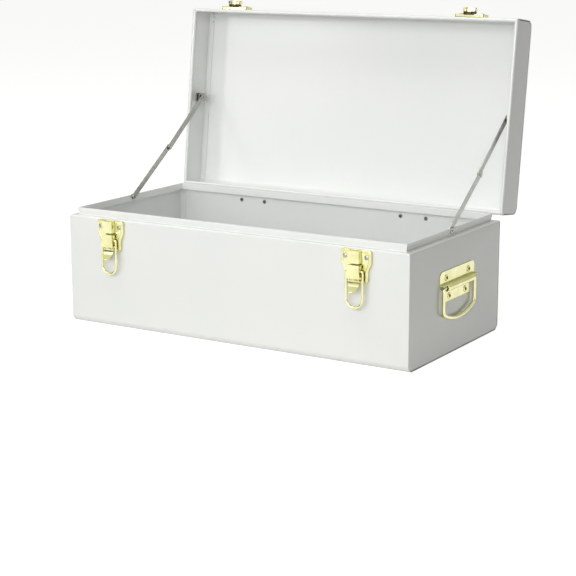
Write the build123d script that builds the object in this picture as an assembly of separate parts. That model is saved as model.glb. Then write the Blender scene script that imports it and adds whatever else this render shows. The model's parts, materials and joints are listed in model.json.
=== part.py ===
from build123d import *
import math
import os

# Small sheet-steel trunk, modelled with its lid open. Millimetres. The origin is the centre of the underside,
# +X runs along the trunk to the right, +Y to the back and +Z up.

# Trunk
TRUNK_WIDTH = 500.0
TRUNK_DEPTH = 250.0
SHOULDER_HEIGHT = 143.5
LID_HEIGHT = 45.4
SPLIT_GAP = 1.1
SHEET = 0.8
LONG_EDGE_RADIUS = 10.0
LID_OPEN_ANGLE = 97.3

# Rim that the lid drops over
RIM_INSET = 8.5
RIM_HEIGHT = 9.0
RIM_HEM = 4.5
SHOULDER_BEND = 2.0
RIM_BEND = 1.0
MITRE_GAP = 0.2

# End panels
PANEL_BEND = 2.0
SEAM_GAP = 0.1
BODY_FLANGE = 9.0
LID_FLANGE = 8.0

# Rolled lower edge of the lid
ROLL_DIAMETER = 5.0
ROLL_ANGLE = 285.0

# Hinges
HINGE_SPACING = 251.0
HINGE_WIDTH = 48.0
HINGE_AXIS_BEHIND = 4.6
HINGE_AXIS_RISE = 0.5
HINGE_SHEET = 1.2
HINGE_PIN_DIAMETER = 4.0
HINGE_KNUCKLE = 21.4
HINGE_LEAF_DROP = 22.0
HINGE_STEP_SLOPE = 1.6
HINGE_RIVET_SPACING = 37.7
HINGE_RIVET_DROP = 8.5
HINGE_LID_RIVET_RISE = 12.5
HINGE_CORNER = 4.0

# Latches, measured from the shoulder and from the front face
LATCH_INSET = 69.0
LATCH_WIDTH = 40.5
LATCH_NECK_WIDTH = 32.0
LATCH_TOP_DROP = 1.0
LATCH_TAPER_DROP = 17.0
LATCH_NECK_DROP = 27.0
LATCH_BOTTOM_DROP = 40.0
LATCH_TRAY_DEPTH = 4.0
LATCH_SHEET = 1.0
LATCH_CORNER = 3.0
LATCH_EDGE = 1.2
LATCH_RIVET_SPACING = 29.2
LATCH_RIVET_DROP = 9.5
BRIDGE_WIDTH = 16.0
BRIDGE_DEPTH = 12.0
BRIDGE_SHEET = 1.2
BRIDGE_TOP_DROP = 1.5
BRIDGE_BOTTOM_DROP = 16.5
BRIDGE_BEND = 1.8
LEVER_PIVOT_DROP = 21.5
LEVER_PIVOT_DEPTH = 8.0
LEVER_PIN_DIAMETER = 2.6
LEVER_PIN_HEAD = 4.6
LEVER_PIN_HEAD_HEIGHT = 0.6
LEVER_PIN_PLAY = 0.2
LEVER_FACE_DEPTH = 11.5
LEVER_SHEET = 1.0
LEVER_TOP_RISE = 2.8
LEVER_FLARE_DROP = 25.0
LEVER_FLARE_WIDTH = 18.0
LEVER_FACE_DROP = 34.5
LEVER_FLANGE_LIFT = 1.5
LEVER_EAR_RADIUS = 2.9
LOOP_EAR_RADIUS = 2.6
PLATE_EAR_RADIUS = 2.3
PLATE_EAR_STEP = 1.7
TAB_WIDTH = 12.5
TAB_SETBACK = 3.4
TAB_NECK_DROP = 38.0
TAB_SHOULDER = 1.4
TAB_CURVE_DROP = 43.5
TAB_CURVE_SETBACK = 2.4
TAB_TIP_WIDTH = 6.2
TAB_TIP_DROP = 51.0
TAB_TIP_DEPTH = 15.0
TAB_WINDOW = 3.6
TAB_WINDOW_HEIGHT = 2.0
TAB_RIB = 2.6
TAB_BENDS = [1.2, 2.5, 8.0]
LOOP_WIRE = 3.0
LOOP_SPACING = 22.0
LOOP_PIVOT_DROP = 26.5
LOOP_PIVOT_DEPTH = 7.0
LOOP_REACH = 45.8
LOOP_BEND = 2.2
LOOP_STUB_GAP = 12.6

# Keepers on the lid
KEEPER_SHOULDER_RISE = 19.0
KEEPER_TOP_RISE = 26.0
KEEPER_EDGE_RISE = 0.7
KEEPER_RIVET_RISE = 12.0
KEEPER_CORNER = 2.1
HOOD_LIP = 1.2
HOOD_LIP_THICKNESS = 1.2
HOOD_CLEARANCE = 0.4

# Handles
HANDLE_TOP_DROP = 37.5
HANDLE_BOTTOM_DROP = 75.0
HANDLE_AXIS_DROP = 57.0
HANDLE_AXIS_DEPTH = 4.2
HANDLE_SHEET = 1.2
HANDLE_WIDTH = 96.0
HANDLE_LOWER_WIDTH = 69.0
HANDLE_TUBE_WIDTH = 73.0
HANDLE_TUBE_BORE = 6.4
HANDLE_CORNER = 7.5
HANDLE_CURL_END = 52.0
HANDLE_CURL_INSET = 1.0
HANDLE_UPPER_RIVET_SPACING = 61.6
HANDLE_UPPER_RIVET_DROP = 45.5
HANDLE_LOWER_RIVET_SPACING = 44.5
HANDLE_LOWER_RIVET_DROP = 69.2
BAIL_WIRE = 4.3
BAIL_SPACING = 85.8
BAIL_DROP = 41.8
BAIL_CORNER = 8.0
BAIL_BOW_RADIUS = 98.0
BAIL_BEND = 4.0
BAIL_STUB = 16.0

# Stays
STAY_WIDTH = 7.5
STAY_SHEET = 1.5
STAY_RIM_GAP = 0.3
STAY_LINK_GAP = 0.3
STAY_FOOT_RISE = 6.0
STAY_TOP_RISE = 20.0
STAY_SLACK = 0.05
STAY_RIVET_DIAMETER = 4.0
STAY_NIB = 3.0
STAY_NIB_RISE = 1.5
STAY_RIVET_PLAY = 0.1
STAY_HEAD_BEVEL = 0.35
BRACKET_WIDTH = 12.0
BRACKET_SHEET = 1.5
BRACKET_FOOT = 11.0
BRACKET_BEND = 2.0

# Rivets
RIVET_SHANK = 3.6
RIVET_HEAD = 5.6
RIVET_HEAD_HEIGHT = 1.2
RIVET_BORE = 2.0
RIVET_RIM = 0.55
RIVET_TAIL = 0.9
EYELET_SHANK = 5.8
EYELET_BORE = 4.6
EYELET_HEAD = 7.8
EYELET_HEAD_HEIGHT = 1.2
TAIL_HEIGHT = 0.7
STAY_HEAD = 7.0
STAY_HEAD_HEIGHT = 0.9
STAY_RIVET_BORE = 2.4

# Fits
RUNNING_CLEARANCE = 0.05
SIDE_CLEARANCE = 0.3
EPS = 0.5

# Places that follow from the sizes above
HALF_WIDTH = TRUNK_WIDTH / 2
HALF_DEPTH = TRUNK_DEPTH / 2
RIM_TOP = SHOULDER_HEIGHT + RIM_HEIGHT
LID_EDGE = SHOULDER_HEIGHT + SPLIT_GAP
LID_TOP = LID_EDGE + LID_HEIGHT
LID_SEAM = LID_EDGE + ROLL_DIAMETER + SIDE_CLEARANCE
HINGE_Y = HALF_DEPTH + HINGE_AXIS_BEHIND
HINGE_Z = SHOULDER_HEIGHT + HINGE_AXIS_RISE
HINGE_AXIS = Axis((0, HINGE_Y, HINGE_Z), (1, 0, 0))
NEST = SHEET + SEAM_GAP
LATCH_X = HALF_WIDTH - LATCH_INSET
KNUCKLE_RADIUS = HINGE_PIN_DIAMETER / 2 + RUNNING_CLEARANCE + HINGE_SHEET
STAY_OUTER_X = HALF_WIDTH - RIM_INSET - SHEET - STAY_RIM_GAP
STAY_INNER_X = STAY_OUTER_X - STAY_SHEET - STAY_LINK_GAP

# Drawing planes: the latches' front and side views, the right handle's front and side views
FRONT_VIEW = Plane(origin=(0, -HALF_DEPTH, SHOULDER_HEIGHT), x_dir=(1, 0, 0), z_dir=(0, -1, 0))
FRONT_SIDE = Plane(origin=(0, -HALF_DEPTH, SHOULDER_HEIGHT), x_dir=(0, -1, 0), z_dir=(-1, 0, 0))
END_VIEW = Plane(origin=(HALF_WIDTH, 0, SHOULDER_HEIGHT), x_dir=(0, 1, 0), z_dir=(1, 0, 0))
END_SIDE = Plane(origin=(HALF_WIDTH, 0, SHOULDER_HEIGHT), x_dir=(1, 0, 0), z_dir=(0, -1, 0))


# ---------------------------------------------------------------- general shapes


def block(x_span, y_span, z_span):
    """Box between two corners, each span a (low, high) pair."""
    spans = (x_span, y_span, z_span)
    sizes = [high - low for low, high in spans]
    centre = [(high + low) / 2 for low, high in spans]
    return Pos(*centre) * Box(*sizes)


def rod(start, direction, length, radius):
    """Cylinder from a point along a direction."""
    return extrude(Plane(origin=start, z_dir=direction) * Circle(radius), length)


def folded(corners, bends, thickness, side=Side.LEFT):
    """Section of a sheet folded along corner points, its thickness on one side of them."""
    line = FilletPolyline(*corners, radius=bends)
    return make_face(offset(line, thickness, side=side))


def outline(points):
    """Flat face through corner points."""
    return make_face(Polyline(*points, close=True))


def mirrored_outline(half_points):
    """Face symmetric about its upright axis, from the points of its right half, top to bottom."""
    left = [(-x, z) for x, z in reversed(half_points)]
    return outline(list(half_points) + left)


def both_sides(part):
    """The part made on the right, and its mirror image on the left."""
    return {"right": part, "left": mirror(part, about=Plane.YZ)}


def bent_wire(plane, start, heading, steps, radius):
    """Round wire from straight runs and left-hand bends, each step (run, bend radius, bend angle)."""
    edges = []
    at = Vector(*start)
    along = Vector(*heading)
    for run, bend_radius, bend_angle in steps:
        if run:
            edges.append(Line(at, at + along * run))
            at = edges[-1] @ 1
        if bend_angle:
            edges.append(JernArc(at, along, bend_radius, bend_angle))
            at = edges[-1] @ 1
            along = edges[-1] % 1
    path = plane.location * Wire(edges)
    return sweep(Plane(origin=path @ 0, z_dir=path % 0) * Circle(radius), path=path)


def rivet(seat, direction, grip, shank, head, head_height, bore):
    """Rivet through a stack of sheets: domed head on the seat, rolled tail with its hollow behind the grip."""
    edge = [
        (0, head_height),
        (0, -grip),
        (bore / 2, -grip),
        (bore / 2, -grip - RIVET_TAIL),
        ((head - RIVET_TAIL) / 2, -grip - RIVET_TAIL),
        (head / 2, -grip),
        (shank / 2, -grip),
        (shank / 2, 0),
        (head / 2, 0),
        (head / 2, RIVET_RIM),
    ]
    crown = TangentArc(edge[0], edge[-1], tangent=(1, 0))
    section = make_face([*Polyline(*edge).edges(), *crown.edges()])
    return turned(section, seat, direction)


def eyelet(seat, direction, grip, shank, head, head_height, bore):
    """Hollow rivet: a rolled head on the seat, a bore right through and a rolled tail behind the grip."""
    bevel = head_height / 2
    section = outline(
        [
            (bore / 2, head_height - bevel / 2),
            ((bore + bevel) / 2, head_height),
            (head / 2 - bevel, head_height),
            (head / 2, bevel),
            (head / 2, 0),
            (shank / 2, 0),
            (shank / 2, -grip),
            ((head - TAIL_HEIGHT) / 2, -grip),
            (head / 2 - TAIL_HEIGHT, -grip - TAIL_HEIGHT),
            (bore / 2, -grip - TAIL_HEIGHT),
        ]
    )
    return turned(section, seat, direction)


def turned(section, seat, direction):
    """Section drawn as (radius, height) spun about a direction from its seat."""
    solid = revolve(Plane.XZ * section, Axis.Z)
    return Plane(origin=seat, z_dir=direction).location * solid


def opened(part):
    """Part drawn on the closed lid, swung to the open position."""
    return part.rotate(HINGE_AXIS, -LID_OPEN_ANGLE)


def opened_point(point):
    """Point drawn on the closed lid, swung to the open position."""
    angle = math.radians(LID_OPEN_ANGLE)
    y, z = point[1] - HINGE_Y, point[2] - HINGE_Z
    back = HINGE_Y + y * math.cos(angle) + z * math.sin(angle)
    up = HINGE_Z - y * math.sin(angle) + z * math.cos(angle)
    return (point[0], back, up)


# ---------------------------------------------------------------- body and lid sheets


def mitre_cutters(low, high, keep_ends):
    """Prisms over the four corners that trim a strip along the mitre lines, for the ends or for the wrap."""
    reach = 2 * RIM_INSET
    outer = (HALF_WIDTH + EPS, HALF_DEPTH + EPS)
    inner = (HALF_WIDTH - reach, HALF_DEPTH - reach)
    shift = MITRE_GAP / 2 if keep_ends else -MITRE_GAP / 2
    third = (inner[0] + shift, outer[1]) if keep_ends else (outer[0] + EPS, inner[1])
    points = [(outer[0] + shift, outer[1]), (inner[0] + shift, inner[1]), third]
    prism = Pos(0, 0, low) * extrude(outline(points), high - low)
    right = prism + mirror(prism, about=Plane.XZ)
    return right + mirror(right, about=Plane.YZ)


def shell_holes(spots, y_span):
    """Round rivet holes through a wall that faces front or back, at (x, z) spots."""
    tools = [rod((x, y_span[0], z), (0, 1, 0), y_span[1] - y_span[0], RIVET_SHANK / 2) for x, z in spots]
    return Part() + tools


def rim_hem(edge, outward):
    """Section of the rim's folded-down top edge: a strip outside the upright and a round top over both."""
    seam = RIM_TOP - SHEET
    length = RIM_HEM - SHEET
    strip = Pos(edge + outward * SHEET / 2, seam - length / 2) * Rectangle(SHEET, length)
    below = Pos(edge, seam - SHEET) * Rectangle(2 * SHEET + EPS, 2 * SHEET)
    return strip + (Pos(edge, seam) * Circle(SHEET) - below)


def body_shell_wrap():
    """Front, bottom and back in one sheet, with the shoulder and the hemmed rim at both top edges."""
    shoulder = HALF_DEPTH - RIM_INSET
    top = RIM_TOP - SHEET
    corners = [
        (-shoulder, top),
        (-shoulder, SHOULDER_HEIGHT),
        (-HALF_DEPTH, SHOULDER_HEIGHT),
        (-HALF_DEPTH, 0),
        (HALF_DEPTH, 0),
        (HALF_DEPTH, SHOULDER_HEIGHT),
        (shoulder, SHOULDER_HEIGHT),
        (shoulder, top),
    ]
    bends = [RIM_BEND, SHOULDER_BEND, LONG_EDGE_RADIUS, LONG_EDGE_RADIUS, SHOULDER_BEND, RIM_BEND]
    section = folded(corners, bends, SHEET) + rim_hem(-shoulder, -1) + rim_hem(shoulder, 1)
    wrap = extrude(Plane.YZ * section, HALF_WIDTH, both=True)
    wrap -= mitre_cutters(SHOULDER_HEIGHT - SHOULDER_BEND, RIM_TOP + EPS, keep_ends=False)
    front = (-HALF_DEPTH - EPS, -HALF_DEPTH + SHEET + EPS)
    back = (HALF_DEPTH - SHEET - EPS, HALF_DEPTH + EPS)
    wrap -= shell_holes(latch_rivet_spots(), front)
    wrap -= shell_holes(hinge_rivet_spots(HINGE_Z - HINGE_RIVET_DROP), back)
    return wrap


def lid_shell_wrap():
    """Front skirt, top and rear skirt in one sheet, with both lower edges rolled inwards."""
    corners = [
        (HALF_DEPTH, LID_SEAM),
        (HALF_DEPTH, LID_TOP),
        (-HALF_DEPTH, LID_TOP),
        (-HALF_DEPTH, LID_SEAM),
    ]
    wrap = extrude(Plane.YZ * folded(corners, [LONG_EDGE_RADIUS, LONG_EDGE_RADIUS], SHEET), HALF_WIDTH, both=True)
    strips = extrude(Plane.YZ * (rolled_edge(HALF_DEPTH, 1) + rolled_edge(-HALF_DEPTH, -1)), HALF_WIDTH, both=True)
    wrap += strips - mitre_cutters(LID_EDGE - EPS, LID_SEAM, keep_ends=False)
    front = (-HALF_DEPTH - EPS, -HALF_DEPTH + SHEET + EPS)
    back = (HALF_DEPTH - SHEET - EPS, HALF_DEPTH + EPS)
    wrap -= shell_holes(keeper_rivet_spots(), front)
    wrap -= shell_holes(hinge_rivet_spots(HINGE_Z + HINGE_LID_RIVET_RISE), back)
    return wrap


def rolled_edge(edge, outward):
    """Section of the lid's sheet from its seam down an outer face to the lower edge, rolled inwards."""
    roll = ROLL_DIAMETER / 2
    down = Line((edge, LID_SEAM), (edge, LID_EDGE + roll))
    curl = JernArc(down @ 1, down % 1, roll, -outward * ROLL_ANGLE)
    side = Side.LEFT if outward > 0 else Side.RIGHT
    return make_face(offset(Wire([down, curl]), SHEET, side=side))


def nested_pan(low, high, depth, round_low):
    """End panel as a shallow pan: its face, its bent edges and its flanges, at the right-hand end."""
    blocks = []
    for inset in (0.0, SHEET):
        edge_y = HALF_DEPTH - NEST - inset
        bottom, top = (low + inset, high) if round_low else (low, high - inset)
        back = depth if inset == 0 else depth + EPS
        if inset:
            bottom, top = (bottom, high + EPS) if round_low else (low - EPS, top)
        face = Pos(0, (bottom + top) / 2) * Rectangle(edge_y * 2, top - bottom)
        corners = face.vertices().sort_by(Axis.Y)
        rounded = corners[:2] if round_low else corners[2:]
        face = fillet(rounded, LONG_EDGE_RADIUS - NEST - inset)
        solid = Pos(HALF_WIDTH - inset - back, 0, 0) * extrude(Plane.YZ * face, back)
        rim = solid.faces().sort_by(Axis.X)[-1].edges().sort_by(Axis.Z)
        kept = rim[:-1] if round_low else rim[1:]
        blocks.append(fillet(kept, PANEL_BEND - inset))
    return blocks[0] - blocks[1]


def body_end():
    """Right-hand end of the body: pan, shoulder and hemmed rim, with its handle and stay holes."""
    shoulder = HALF_WIDTH - RIM_INSET
    bend_start = SHOULDER_HEIGHT - SHOULDER_BEND
    strip_low = bend_start - SHOULDER_BEND
    corners = [
        (HALF_WIDTH, strip_low),
        (HALF_WIDTH, SHOULDER_HEIGHT),
        (shoulder, SHOULDER_HEIGHT),
        (shoulder, RIM_TOP - SHEET),
    ]
    section = folded(corners, [SHOULDER_BEND, RIM_BEND], SHEET) + rim_hem(shoulder, 1)
    strip = extrude(Plane.XZ * section, HALF_DEPTH - NEST, both=True)
    strip -= mitre_cutters(bend_start, RIM_TOP + EPS, keep_ends=True)
    side = HALF_DEPTH - NEST - PANEL_BEND
    for sign in (-1, 1):
        spans = sorted((sign * side, sign * (HALF_DEPTH + EPS)))
        strip -= block((shoulder, HALF_WIDTH + EPS), spans, (strip_low - EPS, bend_start))
    panel = nested_pan(NEST, bend_start, BODY_FLANGE, round_low=True) + strip
    for y, z in handle_rivet_spots():
        panel -= end_hole(HALF_WIDTH, y, z, EYELET_SHANK)
    panel -= end_hole(shoulder, *stay_foot(), STAY_RIVET_DIAMETER)
    return panel


def end_hole(x, y, z, diameter):
    """Tool for a round hole through the sheet of the right-hand end whose outer face is at x."""
    reach = SHEET + EPS
    return rod((x - reach, y, z), (1, 0, 0), 2 * reach, diameter / 2)


def lid_end():
    """Right-hand end of the lid, drawn closed: pan and rolled lower edge."""
    strip = extrude(Plane.XZ * rolled_edge(HALF_WIDTH, 1), HALF_DEPTH, both=True)
    strip -= mitre_cutters(LID_EDGE - EPS, LID_SEAM, keep_ends=True)
    return nested_pan(LID_SEAM, LID_TOP - NEST, LID_FLANGE, round_low=False) + strip


# ---------------------------------------------------------------- hinges


def hinge_rivet_spots(z):
    """Places of the rivets of both hinges at one height."""
    offsets = (-HINGE_RIVET_SPACING / 2, HINGE_RIVET_SPACING / 2)
    return [(side * HINGE_SPACING / 2 + x, z) for side in (-1, 1) for x in offsets]


def hinge_leaf(up, bore, knuckle_spans, rivet_z):
    """One leaf about its own middle: flat plate on the wall, step out to the barrel, knuckles, rivet holes."""
    sign = 1 if up else -1
    near = HINGE_Y - KNUCKLE_RADIUS
    step_end = HINGE_Z + sign * (KNUCKLE_RADIUS + SIDE_CLEARANCE)
    step_start = step_end + sign * (near - HALF_DEPTH) * HINGE_STEP_SLOPE
    tip = HINGE_Z + sign * HINGE_LEAF_DROP
    neck = outline(
        [
            (near, HINGE_Z),
            (near, step_end),
            (HALF_DEPTH, step_start),
            (HALF_DEPTH, step_start + sign * HINGE_SHEET),
            (HALF_DEPTH + HINGE_SHEET, step_start + sign * HINGE_SHEET),
            (HALF_DEPTH + HINGE_SHEET, step_start),
            (near + HINGE_SHEET, step_end),
            (near + HINGE_SHEET, HINGE_Z),
        ]
    )
    barrel = Pos(HINGE_Y, HINGE_Z) * Circle(KNUCKLE_RADIUS)
    section = neck + barrel - Pos(HINGE_Y, HINGE_Z) * Circle(bore)
    leaf = Part()
    for low, high in knuckle_spans:
        leaf += Pos(low, 0, 0) * extrude(Plane.YZ * section, high - low)
    spans = sorted((step_start, tip))
    plate = Pos(0, (spans[0] + spans[1]) / 2) * Rectangle(HINGE_WIDTH, spans[1] - spans[0])
    corners = plate.vertices().sort_by(Axis.Y)
    plate = fillet(corners[2:] if up else corners[:2], HINGE_CORNER)
    leaf += Pos(0, HALF_DEPTH + HINGE_SHEET, 0) * extrude(Plane.XZ * plate, HINGE_SHEET)
    for x in (-HINGE_RIVET_SPACING / 2, HINGE_RIVET_SPACING / 2):
        leaf -= rod((x, HALF_DEPTH - EPS, rivet_z), (0, 1, 0), HINGE_SHEET + 2 * EPS, RIVET_SHANK / 2)
    return leaf


def hinge_parts():
    """Nodes of both hinges: leaves, pins and rivets."""
    middle = HINGE_KNUCKLE / 2
    outer_spans = [
        (-HINGE_WIDTH / 2, -middle - SIDE_CLEARANCE),
        (middle + SIDE_CLEARANCE, HINGE_WIDTH / 2),
    ]
    pin_radius = HINGE_PIN_DIAMETER / 2
    body_leaf = hinge_leaf(False, pin_radius, outer_spans, HINGE_Z - HINGE_RIVET_DROP)
    running = pin_radius + RUNNING_CLEARANCE
    lid_leaf = hinge_leaf(True, running, [(-middle, middle)], HINGE_Z + HINGE_LID_RIVET_RISE)
    pin = rod((-HINGE_WIDTH / 2, HINGE_Y, HINGE_Z), (1, 0, 0), HINGE_WIDTH, pin_radius)
    nodes = {}
    for name, side in (("left", -1), ("right", 1)):
        place = Pos(side * HINGE_SPACING / 2, 0, 0)
        nodes["hinge_body_leaf_" + name] = place * body_leaf
        nodes["hinge_lid_leaf_" + name] = opened(place * lid_leaf)
        nodes["hinge_pin_" + name] = place * pin
    seat = HALF_DEPTH + HINGE_SHEET
    sizes = (HINGE_SHEET + SHEET, RIVET_SHANK, RIVET_HEAD, RIVET_HEAD_HEIGHT, RIVET_BORE)
    body_spots = hinge_rivet_spots(HINGE_Z - HINGE_RIVET_DROP)
    lid_spots = hinge_rivet_spots(HINGE_Z + HINGE_LID_RIVET_RISE)
    nodes["hinge_body_rivets"] = [rivet((x, seat, z), (0, 1, 0), *sizes) for x, z in body_spots]
    nodes["hinge_lid_rivets"] = [opened(rivet((x, seat, z), (0, 1, 0), *sizes)) for x, z in lid_spots]
    return nodes


# ---------------------------------------------------------------- latches and keepers


def latch_rivet_spots():
    """Places of the rivets of both latches on the front wall."""
    z = SHOULDER_HEIGHT - LATCH_RIVET_DROP
    offsets = (-LATCH_RIVET_SPACING / 2, LATCH_RIVET_SPACING / 2)
    return [(side * LATCH_X + x, z) for side in (-1, 1) for x in offsets]


def keeper_rivet_spots():
    """Places of the rivets of both keepers on the lid's front skirt."""
    z = SHOULDER_HEIGHT + KEEPER_RIVET_RISE
    offsets = (-LATCH_RIVET_SPACING / 2, LATCH_RIVET_SPACING / 2)
    return [(side * LATCH_X + x, z) for side in (-1, 1) for x in offsets]


def pressed_tray(face):
    """Shallow tray pressed from sheet, open behind, from its front outline."""
    outside = extrude(FRONT_VIEW * face, LATCH_TRAY_DEPTH)
    front_edges = outside.faces().sort_by(Axis.Y)[0].edges()
    outside = fillet(front_edges, LATCH_EDGE)
    hollow = extrude(FRONT_VIEW * offset(face, -LATCH_SHEET), LATCH_TRAY_DEPTH - LATCH_SHEET)
    return outside - hollow


def tray_rivet_holes(z):
    """Two rivet holes through a tray at a height from the shoulder."""
    tools = Part()
    for x in (-LATCH_RIVET_SPACING / 2, LATCH_RIVET_SPACING / 2):
        tools += rod(
            (x, -HALF_DEPTH - LATCH_TRAY_DEPTH - EPS, SHOULDER_HEIGHT + z),
            (0, 1, 0),
            LATCH_TRAY_DEPTH + EPS,
            RIVET_SHANK / 2,
        )
    return tools


def channel(top, bottom, front, sheet, width):
    """Upright channel of sheet standing on the tray, its two long edges bent round."""
    half = width / 2
    root = LATCH_TRAY_DEPTH - LATCH_SHEET
    corners = [(-half, root), (-half, front), (half, front), (half, root)]
    plan = folded(corners, [BRIDGE_BEND, BRIDGE_BEND], sheet, side=Side.RIGHT)
    base = Plane(origin=(0, -HALF_DEPTH, SHOULDER_HEIGHT + bottom), x_dir=(1, 0, 0), z_dir=(0, 0, -1))
    return extrude(base * plan, -(top - bottom))


def latch_plate():
    """Base plate: pressed tray with a tapered foot, the bridge at the top and two ears for the lever."""
    half_points = [
        (LATCH_WIDTH / 2, -LATCH_TOP_DROP),
        (LATCH_WIDTH / 2, -LATCH_TAPER_DROP),
        (LATCH_NECK_WIDTH / 2, -LATCH_NECK_DROP),
        (LATCH_NECK_WIDTH / 2, -LATCH_BOTTOM_DROP),
    ]
    face = mirrored_outline(half_points)
    face = fillet(face.vertices(), LATCH_CORNER)
    plate = pressed_tray(face)
    plate += channel(-BRIDGE_TOP_DROP, -BRIDGE_BOTTOM_DROP, BRIDGE_DEPTH, BRIDGE_SHEET, BRIDGE_WIDTH)
    plate -= tray_rivet_holes(-LATCH_RIVET_DROP)
    ear_outer = BRIDGE_WIDTH / 2 - BRIDGE_SHEET - SIDE_CLEARANCE
    round_end = Pos(LEVER_PIVOT_DEPTH, -LEVER_PIVOT_DROP) * Circle(PLATE_EAR_RADIUS)
    root = LATCH_TRAY_DEPTH - LATCH_SHEET
    stem = outline(
        [
            (LEVER_PIVOT_DEPTH, -LEVER_PIVOT_DROP + PLATE_EAR_RADIUS),
            (root, -LEVER_PIVOT_DROP + PLATE_EAR_RADIUS - PLATE_EAR_STEP),
            (root, -LEVER_PIVOT_DROP - PLATE_EAR_RADIUS),
            (LEVER_PIVOT_DEPTH, -LEVER_PIVOT_DROP - PLATE_EAR_RADIUS),
        ]
    )
    hole = Pos(LEVER_PIVOT_DEPTH, -LEVER_PIVOT_DROP) * Circle(LEVER_PIN_DIAMETER / 2)
    ears = extrude(FRONT_SIDE * (round_end + stem - hole), ear_outer, both=True)
    inner = ear_outer - LATCH_SHEET
    reach = BRIDGE_DEPTH + EPS
    middle = block(
        (-inner, inner),
        (-HALF_DEPTH - reach, -HALF_DEPTH - LATCH_TRAY_DEPTH),
        (SHOULDER_HEIGHT - LATCH_BOTTOM_DROP, SHOULDER_HEIGHT - BRIDGE_BOTTOM_DROP),
    )
    return plate + (ears - middle)


def latch_lever():
    """Lever: flared face with a turned-back flange each side, window, and finger tab curling outwards."""
    half = BRIDGE_WIDTH / 2
    flare = LEVER_FLARE_WIDTH / 2
    top = -LEVER_PIVOT_DROP + LEVER_TOP_RISE
    profile_corners = [
        (LEVER_FACE_DEPTH, top),
        (LEVER_FACE_DEPTH, -LEVER_FACE_DROP),
        (LEVER_FACE_DEPTH - TAB_SETBACK, -TAB_NECK_DROP),
        (LEVER_FACE_DEPTH - TAB_CURVE_SETBACK, -TAB_CURVE_DROP),
        (TAB_TIP_DEPTH, -TAB_TIP_DROP),
    ]
    profile = folded(profile_corners, TAB_BENDS, LEVER_SHEET, side=Side.RIGHT)
    strip = extrude(FRONT_SIDE * profile, flare + EPS, both=True)
    tab = TAB_WIDTH / 2
    half_points = [
        (half, top + EPS),
        (half, -LEVER_FLARE_DROP),
        (flare, -LEVER_FACE_DROP + TAB_SHOULDER / 2),
        (flare, -LEVER_FACE_DROP - TAB_SHOULDER / 2),
        (tab, -LEVER_FACE_DROP - TAB_SHOULDER),
        (tab, -TAB_CURVE_DROP),
        (TAB_TIP_WIDTH / 2, -TAB_TIP_DROP - EPS),
    ]
    front = mirrored_outline(half_points)
    window = Pos(0, -(LEVER_FACE_DROP + TAB_NECK_DROP) / 2 - EPS) * Rectangle(TAB_WINDOW, TAB_WINDOW_HEIGHT)
    for side in (-1, 1):
        front -= Pos(side * (TAB_WINDOW + TAB_RIB) / 2, 0) * window
    sheet = strip & extrude(FRONT_VIEW * front, 2 * TAB_TIP_DEPTH)
    lever = sheet + lever_flanges()
    hole_half = half + EPS
    for drop, depth, diameter in (
        (LEVER_PIVOT_DROP, LEVER_PIVOT_DEPTH, LEVER_PIN_DIAMETER),
        (LOOP_PIVOT_DROP, LOOP_PIVOT_DEPTH, LOOP_WIRE),
    ):
        start = (-hole_half, -HALF_DEPTH - depth, SHOULDER_HEIGHT - drop)
        lever -= rod(start, (1, 0, 0), 2 * hole_half, diameter / 2 + RUNNING_CLEARANCE)
    return lever


def lever_flanges():
    """Two side flanges of the lever that carry its own pivot and the loop's."""
    half = BRIDGE_WIDTH / 2
    pivot = (LEVER_PIVOT_DEPTH, -LEVER_PIVOT_DROP)
    loop = (LOOP_PIVOT_DEPTH, -LOOP_PIVOT_DROP)
    inside = LEVER_FACE_DEPTH - LEVER_SHEET / 2
    web = outline(
        [
            (inside, -LEVER_PIVOT_DROP + LEVER_TOP_RISE),
            (pivot[0], pivot[1] + LEVER_EAR_RADIUS),
            (pivot[0] - LEVER_EAR_RADIUS, pivot[1]),
            (loop[0] - LOOP_EAR_RADIUS, loop[1]),
            (loop[0], loop[1] - LOOP_EAR_RADIUS),
            (inside, -LEVER_FACE_DROP + LEVER_FLANGE_LIFT),
        ]
    )
    web += Pos(*pivot) * Circle(LEVER_EAR_RADIUS)
    web += Pos(*loop) * Circle(LOOP_EAR_RADIUS)
    flanges = extrude(FRONT_SIDE * web, half, both=True)
    inner = half - BRIDGE_SHEET
    middle = block(
        (-inner, inner),
        (-HALF_DEPTH - LEVER_FACE_DEPTH - EPS, -HALF_DEPTH),
        (SHOULDER_HEIGHT - TAB_TIP_DROP, SHOULDER_HEIGHT),
    )
    return flanges - middle


def lever_pin():
    """Pivot pin of the lever, with a low head outside each flange."""
    half = BRIDGE_WIDTH / 2 + LEVER_PIN_PLAY + LEVER_PIN_HEAD_HEIGHT
    y = -HALF_DEPTH - LEVER_PIVOT_DEPTH
    z = SHOULDER_HEIGHT - LEVER_PIVOT_DROP
    pin = rod((-half, y, z), (1, 0, 0), 2 * half, LEVER_PIN_DIAMETER / 2)
    for start, direction in ((-half, 1), (half, -1)):
        pin += rod((start, y, z), (direction, 0, 0), LEVER_PIN_HEAD_HEIGHT, LEVER_PIN_HEAD / 2)
    return pin


def latch_loop():
    """Wire loop hanging from the lever, its two ends bent inwards into the flanges."""
    half = LOOP_SPACING / 2
    stub = half - LOOP_BEND - LOOP_STUB_GAP / 2
    leg = LOOP_REACH - LOOP_WIRE / 2 - half - LOOP_BEND
    steps = [
        (stub, LOOP_BEND, 90),
        (leg, half, 180),
        (leg, LOOP_BEND, 90),
        (stub, 0, 0),
    ]
    plane = FRONT_VIEW.offset(LOOP_PIVOT_DEPTH)
    return bent_wire(plane, (-LOOP_STUB_GAP / 2, -LOOP_PIVOT_DROP), (-1, 0), steps, LOOP_WIRE / 2)


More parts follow.
